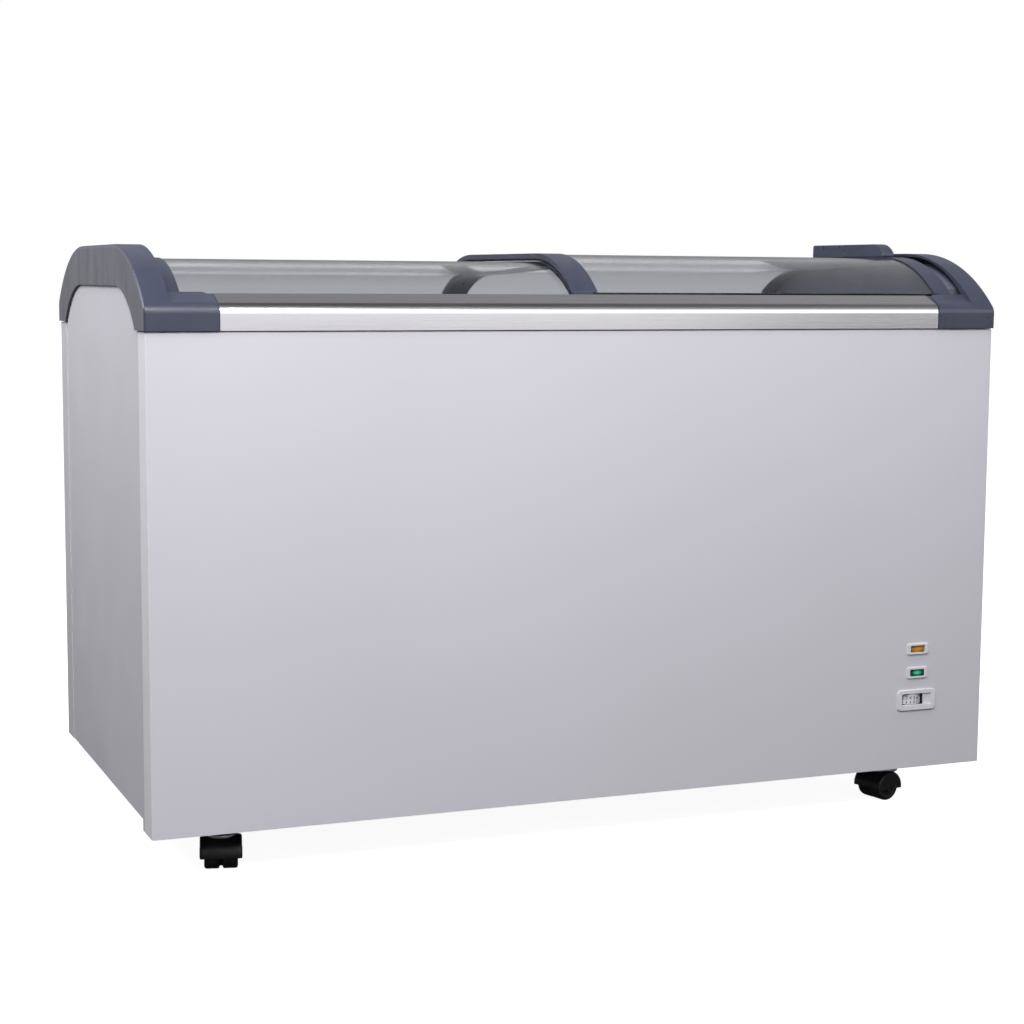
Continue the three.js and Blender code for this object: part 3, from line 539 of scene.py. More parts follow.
# ---- meshes ----
def add_mesh(name, mesh):
    piece = bpy.data.objects.new(name, mesh)
    bpy.context.scene.collection.objects.link(piece)
    return piece


def add_bmesh(name, bm):
    bmesh.ops.recalc_face_normals(bm, faces=bm.faces)
    mesh = bpy.data.meshes.new(name)
    bm.to_mesh(mesh)
    bm.free()
    return add_mesh(name, mesh)


PLACERS = {
    "x": lambda u, v, w: (w, u - HALF_DEPTH, v),
    "y": lambda u, v, w: (u, w - HALF_DEPTH, v),
    "z": lambda u, v, w: (u, v - HALF_DEPTH, w),
}


def extrude(name, axis, outline, start, end):
    """A solid from an outline in millimetres, drawn out along one axis of the frame."""
    bm = bmesh.new()
    rings = []
    for w in (start, end):
        points = [Vector(PLACERS[axis](u, v, w)) * MM for u, v in outline]
        rings.append([bm.verts.new(p) for p in points])
    count = len(outline)
    for i in range(count):
        j = (i + 1) % count
        bm.faces.new((rings[0][i], rings[0][j], rings[1][j], rings[1][i]))
    for ring in rings:
        bm.faces.new(ring)
    return add_bmesh(name, bm)


def beam(name, outline, x0, x1):
    return extrude(name, "x", outline, x0, x1)


def box_solid(name, x, depth, z):
    corners = [(depth[0], z[0]), (depth[1], z[0]), (depth[1], z[1]), (depth[0], z[1])]
    return beam(name, corners, *x)


def lathe(name, profile, matrix, steps=48):
    """A profile of (radius, along) in millimetres, turned about Z and then placed by matrix."""
    bm = bmesh.new()
    rings = []
    for radius, along in profile:
        if radius < 1e-6:
            rings.append([bm.verts.new(matrix @ Vector((0, 0, along * MM)))])
            continue
        ring = []
        for i in range(steps):
            angle = 2 * math.pi * i / steps
            spot = Vector((radius * math.cos(angle), radius * math.sin(angle), along)) * MM
            ring.append(bm.verts.new(matrix @ spot))
        rings.append(ring)
    for lower, upper in zip(rings, rings[1:]):
        for i in range(steps):
            j = (i + 1) % steps
            below = [lower[i % len(lower)], lower[j % len(lower)]]
            above = [upper[j % len(upper)], upper[i % len(upper)]]
            unique = list(dict.fromkeys(below + above))
            if len(unique) > 2:
                bm.faces.new(unique)
    return add_bmesh(name, bm)


def settle(piece):
    """Applies the modifiers, so that the piece holds its final mesh."""
    graph = bpy.context.evaluated_depsgraph_get()
    mesh = bpy.data.meshes.new_from_object(piece.evaluated_get(graph))
    piece.modifiers.clear()
    piece.data = mesh
    return piece


def combine(piece, tool, operation="DIFFERENCE"):
    modifier = piece.modifiers.new("combine", "BOOLEAN")
    modifier.operation = operation
    modifier.solver = "EXACT"
    modifier.object = tool
    settle(piece)
    bpy.data.objects.remove(tool)
    return piece


def well_filled(mesh):
    """True if every face's triangles cover the face and nothing else."""
    mesh.calc_loop_triangles()
    covered = {}
    for triangle in mesh.loop_triangles:
        covered[triangle.polygon_index] = covered.get(triangle.polygon_index, 0) + triangle.area
    return all(
        abs(covered.get(face.index, 0) - face.area) < max(1e-7, 0.005 * face.area)
        for face in mesh.polygons
    )


def round_edges(piece, width, segments, angle, merge_faces):
    weld = piece.modifiers.new("weld", "WELD")
    weld.merge_threshold = 0.00002
    if merge_faces:
        plain = piece.modifiers.new("plain", "DECIMATE")
        plain.decimate_type = "DISSOLVE"
        plain.angle_limit = math.radians(0.6)
    if width:
        bevel = piece.modifiers.new("bevel", "BEVEL")
        bevel.width = width * MM
        bevel.segments = segments
        bevel.limit_method = "ANGLE"
        bevel.angle_limit = math.radians(angle)
        bevel.miter_outer = "MITER_ARC"
    settle(piece)


def soften(piece, width, segments=3, angle=32):
    """Rounds the edges and shades them smooth; flat faces stay flat."""
    source = piece.data
    for bevel_width, merge_faces in ((width, True), (width, False), (0, False)):
        piece.data = source.copy()
        round_edges(piece, bevel_width, segments, angle, merge_faces)
        if well_filled(piece.data):
            break
    piece.data.shade_smooth()
    piece.data.set_sharp_from_angle(angle=math.radians(angle + 10))
    weighted = piece.modifiers.new("weighted", "WEIGHTED_NORMAL")
    weighted.keep_sharp = True
    return settle(piece)


def joined(name, pieces):
    """One object from several."""
    bm = bmesh.new()
    for piece in pieces:
        bm.from_mesh(piece.data)
        bpy.data.objects.remove(piece)
    mesh = bpy.data.meshes.new(name)
    bm.to_mesh(mesh)
    bm.free()
    mesh.shade_smooth()
    mesh.set_sharp_from_angle(angle=math.radians(42))
    return add_mesh(name, mesh)


BODY_OF = {node: body for body, nodes in frame["record"]["behaviour"]["bodies"].items() for node in nodes}
SLOT_OF = {row["node"]: row["material_slot"] for row in frame["record"]["subparts"]}


def stand_for(piece, *nodes):
    """The piece is shown in place of these nodes, with their finish, and moves with them."""
    slot = SLOT_OF[nodes[0]]
    piece.data.materials.clear()
    piece.data.materials.append(MATERIALS[slot])
    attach(piece, BODY_OF[nodes[0]])
    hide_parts(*nodes)
    return piece


def add_detail(piece, slot, body):
    piece.data.materials.clear()
    piece.data.materials.append(MATERIALS[slot])
    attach(piece, body)
    return piece


# ---- outlines ----
def mirrored(points):
    return [(DEPTH - depth, height) for depth, height in reversed(points)]


def raised(points, rise):
    return [(depth, height + rise) for depth, height in points]


def shoulder(foot, crown, steps=28):
    """An arc that climbs from a foot to a crown, where it is level."""
    run, rise = crown[0] - foot[0], crown[1] - foot[1]
    radius = (run * run + rise * rise) / (2 * rise)
    sweep = math.asin(run / radius)
    points = []
    for i in range(steps + 1):
        angle = sweep * (1 - i / steps)
        points.append((crown[0] - radius * math.sin(angle), crown[1] - radius * (1 - math.cos(angle))))
    return points


def arch(foot, crown, steps=28):
    front = shoulder(foot, crown, steps)
    return front + mirrored(front)


def lid_top(depth):
    run = max(LID_CROWN_DEPTH - depth, 0)
    return LID_CROWN - LID_RADIUS + math.sqrt(LID_RADIUS ** 2 - run ** 2)


def lid_arch(foot, rise, steps=28):
    return raised(arch((foot, lid_top(foot)), (LID_CROWN_DEPTH, LID_CROWN), steps), rise)


def collar_skin(inset, steps=16):
    """The rolled front edge's outer skin, moved inward by inset."""
    radius = COLLAR_ROUND - inset
    points = [(inset, CAP_BOTTOM)]
    for i in range(steps + 1):
        angle = math.radians(COLLAR_TURN * i / steps)
        points.append((COLLAR_ROUND - radius * math.cos(angle), COLLAR_CENTRE + radius * math.sin(angle)))
    slope = math.radians(90 - COLLAR_TURN)
    depth, height = points[-1]
    points.append((depth + COLLAR_REACH * math.cos(slope), height + COLLAR_REACH * math.sin(slope)))
    return points


def rounded_rectangle(cx, cz, width, height, radius, steps=6):
    points = []
    for quarter, (sx, sz) in enumerate(((1, -1), (1, 1), (-1, 1), (-1, -1))):
        for i in range(steps + 1):
            angle = (quarter - 1 + i / steps) * math.pi / 2
            u = cx + sx * (width / 2 - radius) + radius * math.cos(angle)
            v = cz + sz * (height / 2 - radius) + radius * math.sin(angle)
            points.append((u, v))
    return points


# ---- end caps ----
CAP_RUN = CAP_CROWN_DEPTH - COLLAR_ROUND
CAP_RISE = CAP_CROWN - COLLAR_CENTRE
CAP_RADIUS = (CAP_RUN ** 2 + CAP_RISE ** 2 - COLLAR_ROUND ** 2) / (2 * (CAP_RISE - COLLAR_ROUND))
CAP_TURN = math.atan2(CAP_RADIUS - CAP_RISE, CAP_RUN)


def arc(centre, radius, start, end, steps):
    """Points on an arc that climbs towards the back, from one angle above level to another."""
    angles = [start + (end - start) * i / steps for i in range(steps + 1)]
    return [(centre[0] - radius * math.cos(a), centre[1] + radius * math.sin(a)) for a in angles]


def cap_outline(inset):
    """The cap's curve starts as the collar's own round and runs on, tangent to it, into a wider arc."""
    front = [(inset, CAP_BOTTOM)]
    front += arc((COLLAR_ROUND, COLLAR_CENTRE), COLLAR_ROUND - inset, 0, CAP_TURN, 10)
    middle = (CAP_CROWN_DEPTH, CAP_CROWN - CAP_RADIUS)
    front += arc(middle, CAP_RADIUS - inset, CAP_TURN, math.pi / 2, 28)[1:]
    return front + mirrored(front)


def lowered_feet(points, amount):
    (d0, h0), (d1, h1) = points[0], points[-1]
    return [(d0, h0 - amount)] + points[1:-1] + [(d1, h1 - amount)]


def end_cap(side):
    """The moulded cap over one end, with an arm along the front and one along the back."""
    name = "left_end_cap" if side < 0 else "right_end_cap"
    drop = LOWER_LID_DROP if side < 0 else 0

    def slab(outline, start, end):
        return beam("tool", outline, side * (HALF_WIDTH - start), side * (HALF_WIDTH - end))

    shell = slab(cap_outline(0), 0, CAP_LENGTH)
    shell.name = f"{name}_moulding"
    round_rim(shell, side)
    combine(shell, slab(lowered_feet(cap_outline(4), 5), CAP_WALL, CAP_LENGTH - 3))
    below = CAP_BOTTOM - 70
    for turn in (list, mirrored):
        arm = collar_skin(0) + [(39.5, 822.5), (39.5, CAP_BOTTOM)]
        combine(shell, slab(turn(arm), CAP_LENGTH - 1.5, ARM_LENGTH), "UNION")
    combine(shell, slab(lowered_feet(arch((59, CAP_BOTTOM + 0.3), (196, 829.5)), 5), -1, CAP_WALL + 1))
    lid_space = [(40.5, below)] + lid_arch(40.5, 1.6 - drop) + [(DEPTH - 40.5, below)]
    combine(shell, slab(lid_space, CAP_WALL, CAP_LENGTH + 1))
    for turn in (list, mirrored):
        rail_space = [(2, below)] + collar_skin(2)[1:] + [(39.6, 821), (70, 821), (70, below)]
        combine(shell, slab(turn(rail_space), CAP_WALL, ARM_LENGTH + 1))
    combine(shell, arm_end(side, below), "INTERSECT")
    soften(shell, 0.7, 2)
    stand_for(shell, name)


def round_rim(shell, side):
    """A soft edge between the cap's end face and its curved band."""
    bm = bmesh.new()
    bm.from_mesh(shell.data)
    face_x = side * HALF_WIDTH * MM
    rim = [
        edge for edge in bm.edges
        if all(abs(v.co.x - face_x) < 1e-6 for v in edge.verts)
        and min(v.co.z for v in edge.verts) > (CAP_BOTTOM - 0.5) * MM
        and not all(abs(v.co.z - CAP_BOTTOM * MM) < 1e-5 for v in edge.verts)
    ]
    bmesh.ops.bevel(bm, geom=rim, offset=CAP_RIM * MM, segments=5, profile=0.5, affect="EDGES")
    bm.to_mesh(shell.data)
    bm.free()


def arm_end(side, below):
    """The volume whose front view rounds off the top of the arms' ends."""
    above = CAP_CROWN + 10
    outline = [(-1, below), (ARM_LENGTH, below), (ARM_LENGTH - 0.5, 796)]
    turn = 14
    for i in range(7):
        angle = math.radians(8 + 76 * i / 6)
        inward = ARM_LENGTH - 2 - turn * (1 - math.cos(angle)) * 1.1
        outline.append((inward, 802 + 21 * math.sin(angle)))
    outline += [(CAP_LENGTH, 826), (CAP_LENGTH, above), (-1, above)]
    points = [(side * (HALF_WIDTH - inward), height) for inward, height in outline]
    return extrude("tool", "y", points, -5, DEPTH + 5)


# ---- trims and rails ----
def trims():
    skin = collar_skin(1) + collar_skin(2)[::-1]
    for name, turn in (("front_trim", list), ("rear_trim", mirrored)):
        x = span(name)[0]
        stand_for(soften(beam(f"{name}_rolled", turn(skin), *x), 0.25, 2), name)


# ---- lids ----
def lid(side):
    name = "left_lid" if side < 0 else "right_lid"
    drop = LOWER_LID_DROP if side < 0 else 0
    foot = span(f"{name}_glass")[1][0]
    glass_x = span(f"{name}_glass")[0]
    for part in ("end_frame", "centre_frame"):
        node = f"{name}_{part}"
        section = frame_section(span(node)[0], glass_x, drop)
        stand_for(soften(swept(f"{node}_moulding", section, foot), 0.55, 3), node)
    (x0, x1), top, bottom = glass_x, -1.5 - drop, -5.5 - drop
    pane = swept(f"{name}_pane", [(x0, bottom), (x1, bottom), (x1, top), (x0, top)], foot)
    stand_for(soften(pane, 0.4, 2), f"{name}_glass")
    handle(name)


def frame_section(frame_x, glass_x, drop):
    """The frame's cross-section: a bar with a slot in the side that holds the glass."""
    beside_left = frame_x[0] < glass_x[0]
    inner, outer = (frame_x[1], frame_x[0]) if beside_left else frame_x
    slot = glass_x[0] - 0.4 if beside_left else glass_x[1] + 0.4
    low, high = -LID_THICKNESS - drop, -drop
    lips = [(inner, -5.8 - drop), (slot, -5.8 - drop), (slot, -1.2 - drop), (inner, -1.2 - drop)]
    return [(outer, low), (inner, low), *lips, (inner, high), (outer, high)]


def swept(name, section, foot):
    """A cross-section of (x, rise) carried along the lid curve from the front foot to the rear one."""
    bm = bmesh.new()
    rings = []
    for depth, height in lid_arch(foot, 0):
        places = [Vector((x, depth - HALF_DEPTH, height + rise)) * MM for x, rise in section]
        rings.append([bm.verts.new(place) for place in places])
    for first, second in zip(rings, rings[1:]):
        for i in range(len(section)):
            j = (i + 1) % len(section)
            bm.faces.new((first[i], first[j], second[j], second[i]))
    bm.faces.new(rings[0])
    bm.faces.new(rings[-1])
    return add_bmesh(name, bm)


def handle(name):
    x, (front, back), (seat, top) = span(f"{name}_handle")
    outline = [(front, seat), (back, seat), (back, top - 3.5), (back - 1, top - 1), (back - 3.5, top)]
    outline += shoulder((front, top - 15), (front + 32, top), 16)[::-1]
    block = beam(f"{name}_handle_block", outline, *x)
    stand_for(soften(block, 2.2, 4), f"{name}_handle")


# ---- steel panels ----
def bent_sheet(name, face, back, z0, z1):
    """A sheet across the whole width whose ends turn round onto the sides."""
    outer = HALF_WIDTH - PANEL_INSET
    step = 1 if face < back else -1
    corner = [
        (outer - BEND + BEND * math.sin(a), face + step * BEND * (1 - math.cos(a)))
        for a in quarter_turn()
    ]
    inner_bend = BEND - SHEET
    inner = [
        (outer - BEND + inner_bend * math.sin(a), face + step * (BEND - inner_bend * math.cos(a)))
        for a in quarter_turn()
    ]
    outside = [(-x, depth) for x, depth in reversed(corner)] + corner
    inside = inner[::-1] + [(-x, depth) for x, depth in inner]
    ends = [(outer, back), (outer - SHEET, back)]
    far_ends = [(SHEET - outer, back), (-outer, back)]
    return extrude(name, "z", outside + ends + inside + far_ends, z0, z1)


def quarter_turn(steps=6):
    return [math.pi / 2 * i / steps for i in range(steps + 1)]


# The openings in the front panel: height of the middle, width and height.
OPENINGS = ((SWITCH_Z, 34, 14), (LAMP_Z, 34, 14), (DIAL_Z, 60, 28))
SEAM_HALF_WIDTH = 0.5
SEAM_DEPTH = 0.7


def panels():
    _, (face, back), (z0, z1) = span("front_panel")
    sheet = bent_sheet("front_panel_sheet", face, back, z0, z1)
    for z, width, height in OPENINGS:
        across = (CONTROLS_X - width / 2, CONTROLS_X + width / 2)
        combine(sheet, box_solid("tool", across, (0, 10), (z - height / 2, z + height / 2)))
    seam_x = SEAM_INWARD - HALF_WIDTH
    across = (seam_x - SEAM_HALF_WIDTH, seam_x + SEAM_HALF_WIDTH)
    combine(sheet, box_solid("tool", across, (0, face + SEAM_DEPTH), (z0 + 2, z0 + 7)))
    stand_for(soften(sheet, 0.35, 2), "front_panel")


def refine(node, width, segments=3, angle=32):
    """The node's own shape with its edges rounded."""
    source = NODES[node]
    piece = add_mesh(f"{node}_finished", source.data.copy())
    stand_for(soften(piece, width, segments, angle), node)


# ---- controls ----
def pierced_plate(name, node, opening, spigot, corner):
    """A bezel: a plate with rounded edges, a spigot behind it and an opening through both."""
    (x0, x1), (face, _), (z0, z1) = span(node)
    middle = (z0 + z1) / 2
    plate = extrude(name, "y", rounded_rectangle(CONTROLS_X, middle, x1 - x0, z1 - z0, corner), face, 2.7)
    soften(plate, 1.0, 3)
    centre, width, height = opening
    tunnel = extrude("tool", "y", rounded_rectangle(CONTROLS_X, centre, width, height, 1.5), -5, 20)
    back = extrude("back", "y", rounded_rectangle(CONTROLS_X, centre, *spigot, 1.5), 2.5, 5)
    combine(plate, back, "UNION")
    combine(plate, tunnel)
    soften(plate, 0.35, 2)
    stand_for(plate, node)


def rocker():
    """A rocker with two dished faces, tilted to one of its two positions."""
    face = [(-12.1, 2), (-12.1, -2.6), (-11.4, -4.1)]
    face += [(x, -4.1 + 1.9 * (1 - (abs(x) / 11.4) ** 1.6)) for x in (-9.5, -7.6, -5.7, -3.8, -1.9)]
    outline = face + [(0, -2.2)] + [(-x, depth) for x, depth in reversed(face)] + [(9, 5), (-9, 5)]
    turn = Matrix.Rotation(-ROCKER_TILT, 2)
    points = []
    for x, depth in outline:
        spot = turn @ Vector((x, depth))
        points.append((CONTROLS_X + spot.x, 6 + spot.y))
    low, high = span("power_switch_rocker")[2]
    piece = extrude("rocker_cap", "z", points, low, high)
    stand_for(soften(piece, 0.7, 3), "power_switch_rocker")


def lamp_lens():
    (x0, x1), (face, back), (z0, z1) = span("indicator_lamp_lens")
    outline = rounded_rectangle((x0 + x1) / 2, (z0 + z1) / 2, x1 - x0, z1 - z0, 1.6)
    piece = extrude("lamp_lens", "y", outline, face, back)
    for i in range(-2, 3):
        x = CONTROLS_X + 4.2 * i
        combine(piece, box_solid("tool", (x - 0.18, x + 0.18), (face - 1, face + 0.5), (z0 - 1, z1 + 1)))
    stand_for(soften(piece, 0.5, 3), "indicator_lamp_lens")


def dial():
    """The thermostat's dial: its rim is milled at the right of the window and numbered at the left."""
    spot = Vector(JOINTS["thermostat_turn"]["pos_m"])
    (x0, x1), _, (z0, z1) = span("thermostat_dial")
    radius, half = (x1 - x0) / 2, (z1 - z0) / 2
    place = Matrix.Translation(spot)
    rim = [(3, -half), (radius - 1, -half), (radius, 1 - half), (radius, half - 1)]
    rim += [(radius - 1, half), (3, half), (3, -half)]
    piece = lathe("dial_drum", rim, place, 96)
    low, high = -half - 1, half + 1
    groove = [(0, low), (TOOTH_RADIUS, low), (TOOTH_RADIUS, high), (0, high)]
    for i in range(DIAL_TEETH):
        angle = FIRST_TOOTH + TOOTH_PITCH * i
        combine(piece, lathe("tool", groove, milled_place(place, radius, angle), 8))
    stand_for(soften(piece, 0.25, 2), "thermostat_dial")
    for number in range(DIAL_NUMBERS):
        angle = math.radians(FIRST_NUMBER + NUMBER_PITCH * number)
        add_numeral(str(number + 1), place, radius, angle, NUMERAL_HEIGHT)
        add_tick(place, radius, angle)


def milled_place(place, radius, angle):
    return place @ Matrix.Rotation(angle, 4, "Z") @ Matrix.Translation(Vector((0, -radius, 0)) * MM)


def add_numeral(text, place, radius, angle, height):
    curve = bpy.data.curves.new(f"dial_numeral_{text}", "FONT")
    curve.body = text
    curve.size = height * MM * 1.35
    curve.align_x = "CENTER"
    curve.align_y = "CENTER"
    curve.extrude = 0.0001
    source = bpy.data.objects.new("text", curve)
    bpy.context.scene.collection.objects.link(source)
    bpy.context.view_layer.update()
    graph = bpy.context.evaluated_depsgraph_get()
    mesh = bpy.data.meshes.new_from_object(source.evaluated_get(graph))
    bpy.data.objects.remove(source)
    stand = Matrix.Rotation(math.pi / 2, 4, "X")
    raise_up = Matrix.Translation((0, 0, 0.0022))
    mesh.transform(milled_place(place, radius + 0.02, angle) @ raise_up @ stand)
    add_detail(add_mesh(f"dial_numeral_{text}", mesh), "black_plastic", "thermostat_knob")


def add_tick(place, radius, angle):
    tick = extrude("dial_tick", "z", [(-0.7, 0), (0.7, 0), (0.7, 0.5), (-0.7, 0.5)], -6.6, -3)
    tick.data.transform(Matrix.Translation((0, HALF_DEPTH * MM - 0.00025, 0)))
    tick.data.transform(milled_place(place, radius, angle))
    add_detail(tick, "black_plastic", "thermostat_knob")


def blank_plate():
    """A plain plate that closes the right part of the thermostat's window, and the gap beside it."""
    low, high = DIAL_Z - WINDOW_HALF_HEIGHT, DIAL_Z + WINDOW_HALF_HEIGHT
    x0, x1 = WINDOW_BLANK
    outline = [(x0, 2.6), (x1, 2.6), (x1, 3.6), (x0, 3.6)]
    plate = extrude("window_blank", "z", outline, low, high)
    add_detail(soften(plate, 0.3, 2), "white_plastic", "cabinet")
    x0, x1 = WINDOW_DIVIDER
    outline = [(x0, 1.8), (x1, 1.8), (x1, 3.8), (x0, 3.8)]
    divider = extrude("window_divider", "z", outline, low, high)
    add_detail(soften(divider, 0.3, 2), "black_plastic", "cabinet")


def controls():
    pierced_plate("switch_surround", "power_switch_bezel", (SWITCH_Z, 26, 11), (33, 13), 3.2)
    pierced_plate("lamp_surround", "indicator_lamp_bezel", (LAMP_Z, 26, 11), (33, 13), 3.2)
    pierced_plate("thermostat_surround", "thermostat_bezel", (DIAL_Z, 54, 18), (58.5, 26.5), 6)
    rocker()
    lamp_lens()
    dial()
    blank_plate()


# ---- casters ----
def caster_place(corner):
    across = Vector(JOINTS[f"{corner}_wheel_spin"]["axis"]).normalized()
    foot = Vector(JOINTS[f"{corner}_swivel_turn"]["pos_m"])
    foot.z = 0
    up = Vector((0, 0, 1))
    turn = Matrix((across, up.cross(across), up)).transposed().to_4x4()
    return Matrix.Translation(foot) @ turn


TRAIL = 19
AXLE = Matrix.Translation(Vector((0, -TRAIL, 23)) * MM) @ Matrix.Rotation(math.pi / 2, 4, "Y")


def local_box(x, y, z):
    """A box whose coordinates are the caster's own, with the swivel axis at the origin."""
    tool = extrude("tool", "z", [(x[0], y[0]), (x[1], y[0]), (x[1], y[1]), (x[0], y[1])], *z)
    tool.data.transform(Matrix.Translation((0, HALF_DEPTH * MM, 0)))
    return tool


def fork_shape():
    """The hooded fork with its axle bosses and swivel pin, in the caster's own coordinates."""
    edge = [(0, -30), (22.5, -30), (24.6, -29.3), (25.7, -27.8), (26, -26)]
    hood = lathe("caster_hood", edge + [(r, -w) for r, w in reversed(edge)], AXLE, 64)
    combine(hood, local_box((-70, 70), (-70, 60), (-10, 20)))
    boss = [(0, -30.5), (7.6, -30.5), (8.5, -29.5), (8.5, 29.5), (7.6, 30.5), (0, 30.5)]
    combine(hood, lathe("boss", boss, AXLE, 33), "UNION")
    pin = [(0, 40), (8, 40), (8, 76), (0, 76)]
    combine(hood, lathe("pin", pin, Matrix.Identity(4), 31), "UNION")
    combine(hood, lathe("tool", [(0, -24.8), (24, -24.8), (24, 24.8), (0, 24.8)], AXLE, 72))
    combine(hood, local_box((-24.5, 24.5), (-70, 60), (-10, 20.4)))
    combine(hood, lathe("tool", [(0, -40), (3.3, -40), (3.3, 40), (0, 40)], AXLE, 24))
    return soften(hood, 0.6, 2)


def disc_shape():
    disc = [(8, 45.6), (22.6, 45.6), (23.7, 46.3), (24, 47.5), (24, 49.8)]
    disc += [(23, 51.2), (21, 51.7), (8, 51.7), (8, 45.6)]
    return soften(lathe("caster_disc", disc, Matrix.Translation((0, -9 * MM, 0)), 64), 0)


def wheels(corner):
    half = [(0, 29.5), (2.6, 29.5), (3, 29.1), (3, 24.6), (6.4, 24.6), (7, 24.2), (7.4, 22.6), (8.2, 22)]
    half += [(15.2, 22), (16, 22.6), (16.4, 23.6), (17, 24), (19.4, 24), (21.2, 23.4), (22.5, 22), (23, 20)]
    half += [(23, 13.2), (22.7, 12.9), (22.7, 12.1), (23, 11.8), (23, 4.2)]
    half += [(22.6, 3.4), (21.8, 2.8), (19.6, 1.9), (19, 1.4)]
    profile = half + [(radius, -across) for radius, across in reversed(half)]
    piece = lathe(f"{corner}_twin_wheels", profile, caster_place(corner) @ AXLE, 72)
    stand_for(soften(piece, 0), f"{corner}_caster_wheels")


def placed(shape, name, place):
    """A copy of a caster part, moved to its corner."""
    mesh = shape.data.copy()
    mesh.transform(place)
    return add_mesh(name, mesh)


def casters():
    fork, disc = fork_shape(), disc_shape()
    for corner in CORNERS:
        place = caster_place(corner)
        stand_for(placed(fork, f"{corner}_hood", place), f"{corner}_caster_fork")
        add_detail(placed(disc, f"{corner}_swivel_disc", place), "zinc_steel", f"{corner}_swivel")
        wheels(corner)
        refine(f"{corner}_caster_plate", 0.5, 2)
    bpy.data.objects.remove(fork)
    bpy.data.objects.remove(disc)


# ---- machine compartment ----
def compressor():
    (x0, x1), (d0, d1), _ = span("compressor")
    x, y = (x0 + x1) / 2, (d0 + d1) / 2 - HALF_DEPTH
    place = Matrix.Translation(Vector((x, y, 0)) * MM)
    pot = [(0, 98), (40, 98), (60, 101), (74, 108), (82, 118), (86, 132), (87, 150), (87, 196)]
    pot += [(90, 197), (90, 203), (87, 204), (86.5, 220), (83, 238)]
    pot += [(75, 252), (60, 265), (40, 273), (18, 276), (0, 276)]
    shell = lathe("compressor_shell", pot, place, 64)
    foot = span("compressor")[2][0]
    plate = extrude("plate", "z", rounded_rectangle(x, (d0 + d1) / 2, 220, 150, 20), foot, foot + 3.5)
    stand = lathe("stand", [(0, foot + 3), (40, foot + 3), (46, 106), (0, 106)], place, 48)
    combine(shell, plate, "UNION")
    combine(shell, stand, "UNION")
    stand_for(soften(shell, 0.8, 2), "compressor")
    for sx in (-1, 1):
        for sy in (-1, 1):
            spot = place @ Matrix.Translation(Vector((94 * sx, 60 * sy, 0)) * MM)
            grommet = [(0, 88.5), (9, 88.5), (10, 90), (8, 92), (8, 97), (10, 99), (9, 101), (0, 101)]
            add_detail(soften(lathe("compressor_grommet", grommet, spot, 32), 0), "black_rubber", "cabinet")


def condenser():
    (x0, x1), (d0, d1), (z0, z1) = span("condenser")
    x0, x1 = x0 + 6, x1 - 6
    bm = bmesh.new()
    count = int((x1 - x0) / FIN_PITCH)
    for i in range(count + 1):
        centre = Vector((x0 + FIN_PITCH * i + 0.3, (d0 + d1) / 2 - HALF_DEPTH, (z0 + z1) / 2)) * MM
        size = Matrix.Diagonal((0.6 * MM, (d1 - d0) * MM, (z1 - z0) * MM, 1))
        bmesh.ops.create_cube(bm, size=1, matrix=Matrix.Translation(centre) @ size)
    fins = add_bmesh("condenser_fins", bm)
    stand_for(fins, "condenser")
    rows = int((z1 - z0 - 20) / TUBE_PITCH)
    for i in range(rows):
        z = z0 + 22 + TUBE_PITCH * i
        tube = [(0, x0 - 5), (4.2, x0 - 5), (4.8, x0 - 4), (4.8, x1 + 4), (4.2, x1 + 5), (0, x1 + 5)]
        middle = Vector((0, (d0 + d1) / 2 - HALF_DEPTH, z)) * MM
        place = Matrix.Translation(middle) @ Matrix.Rotation(math.pi / 2, 4, "Y")
        add_detail(soften(lathe("condenser_tube", tube, place, 24), 0), "copper_tube", "cabinet")


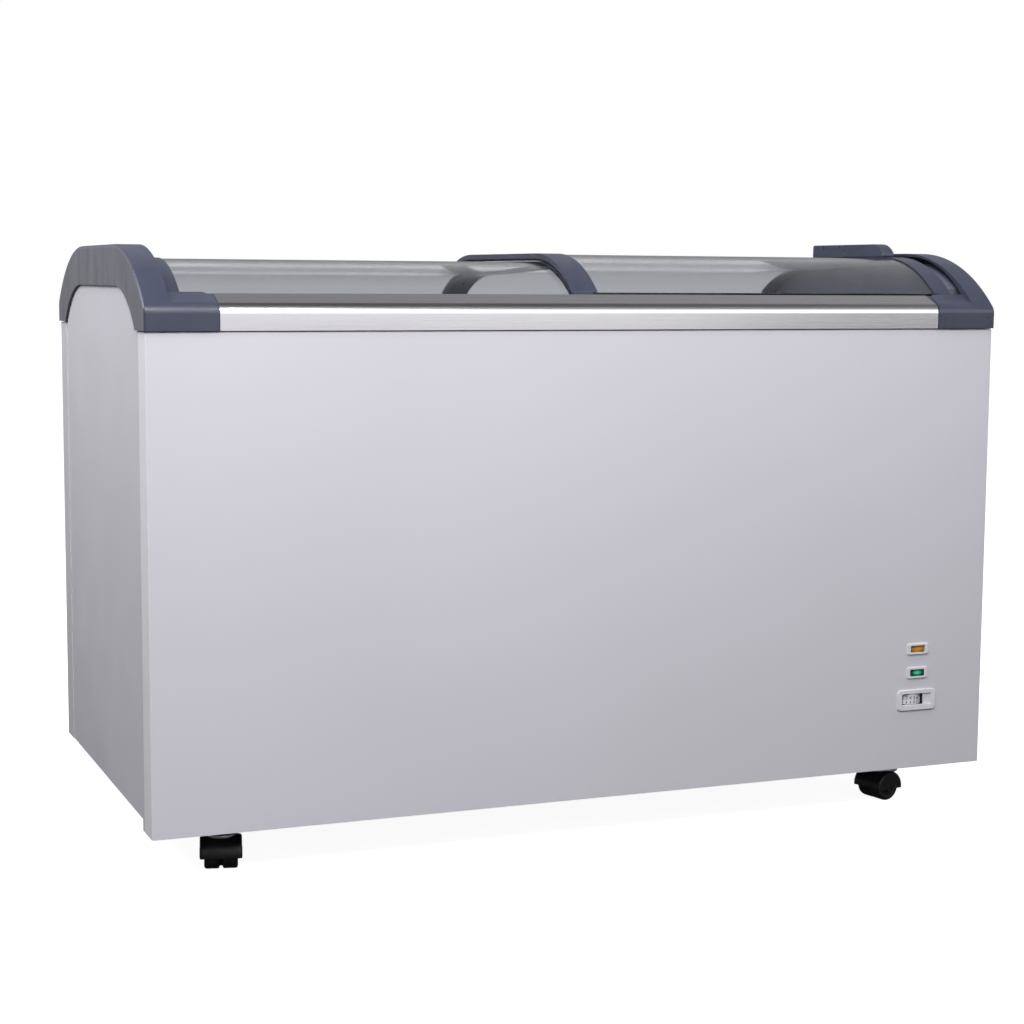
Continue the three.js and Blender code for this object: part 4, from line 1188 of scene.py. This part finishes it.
def fan():
    """Five twisted blades round a domed hub."""
    spot = Vector(JOINTS["condenser_fan_spin"]["pos_m"])
    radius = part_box("fan_blade")[1].x / MM - spot.x / MM
    place = Matrix.Translation(spot) @ Matrix.Rotation(math.pi / 2, 4, "X")
    hub = [(0, -12), (24, -12), (26, -10), (26, 8), (24.5, 11), (20, 12), (0, 12)]
    pieces = [lathe("hub", hub, place, 48)]
    for i in range(5):
        pieces.append(fan_blade(place @ Matrix.Rotation(2 * math.pi * i / 5, 4, "Z"), radius))
    stand_for(joined("fan_wheel", pieces), "fan_blade")


def fan_blade(place, radius):
    bm = bmesh.new()
    columns, rows = 12, 10
    grid = []
    for i in range(columns + 1):
        out = 22 + (radius - 24) * i / columns
        pitch = math.radians(36 - 16 * i / columns)
        half_angle = math.radians(30 - 5 * i / columns)
        line = []
        for j in range(rows + 1):
            share = 2 * j / rows - 1
            angle = half_angle * share
            lift = math.tan(pitch) * 12 * share * 0.7
            spot = Vector((out * math.cos(angle), out * math.sin(angle), lift)) * MM
            line.append(bm.verts.new(place @ spot))
        grid.append(line)
    for i in range(columns):
        for j in range(rows):
            bm.faces.new((grid[i][j], grid[i + 1][j], grid[i + 1][j + 1], grid[i][j + 1]))
    blade = add_bmesh("blade", bm)
    thick = blade.modifiers.new("thickness", "SOLIDIFY")
    thick.thickness = 2 * MM
    thick.offset = 0
    return settle(blade)


def finish_plain_nodes():
    """Nodes whose shape is already right get rounded edges."""
    for node, width in PLAIN_NODES.items():
        refine(node, width, 2)


PLAIN_NODES = {
    "back_panel": 0.3, "left_side_panel": 0.3, "right_side_panel": 0.3, "side_vent_grille": 0.8,
    "left_end_wall": 1.5, "right_end_wall": 1.5, "front_lid_rail": 0.5, "rear_lid_rail": 0.5,
    "base_plate": 0.3, "foam_insulation": 1.5, "inner_liner": 0.3, "evaporator_coil": 0, "drain_tube": 0.3,
    "drain_plug": 0.6, "start_relay_box": 2.5, "fan_shroud": 0.6, "fan_motor": 1.2, "filter_drier": 0.6,
    "drip_tray": 0.6, "thermostat_body": 0.6, "cable_gland": 0.8, "lid_gap_seal": 0.6,
    "left_lid_front_runner": 0.8, "left_lid_rear_runner": 0.8,
    "right_lid_front_runner": 0.8, "right_lid_rear_runner": 0.8,
}


make_camera()
make_world()
make_lights()
make_floor()
finish_nodes()
panels()
for side in (-1, 1):
    end_cap(side)
    lid(side)
trims()
controls()
casters()
compressor()
condenser()
fan()
finish_plain_nodes()
bpy.context.scene.view_settings.view_transform = "Standard"
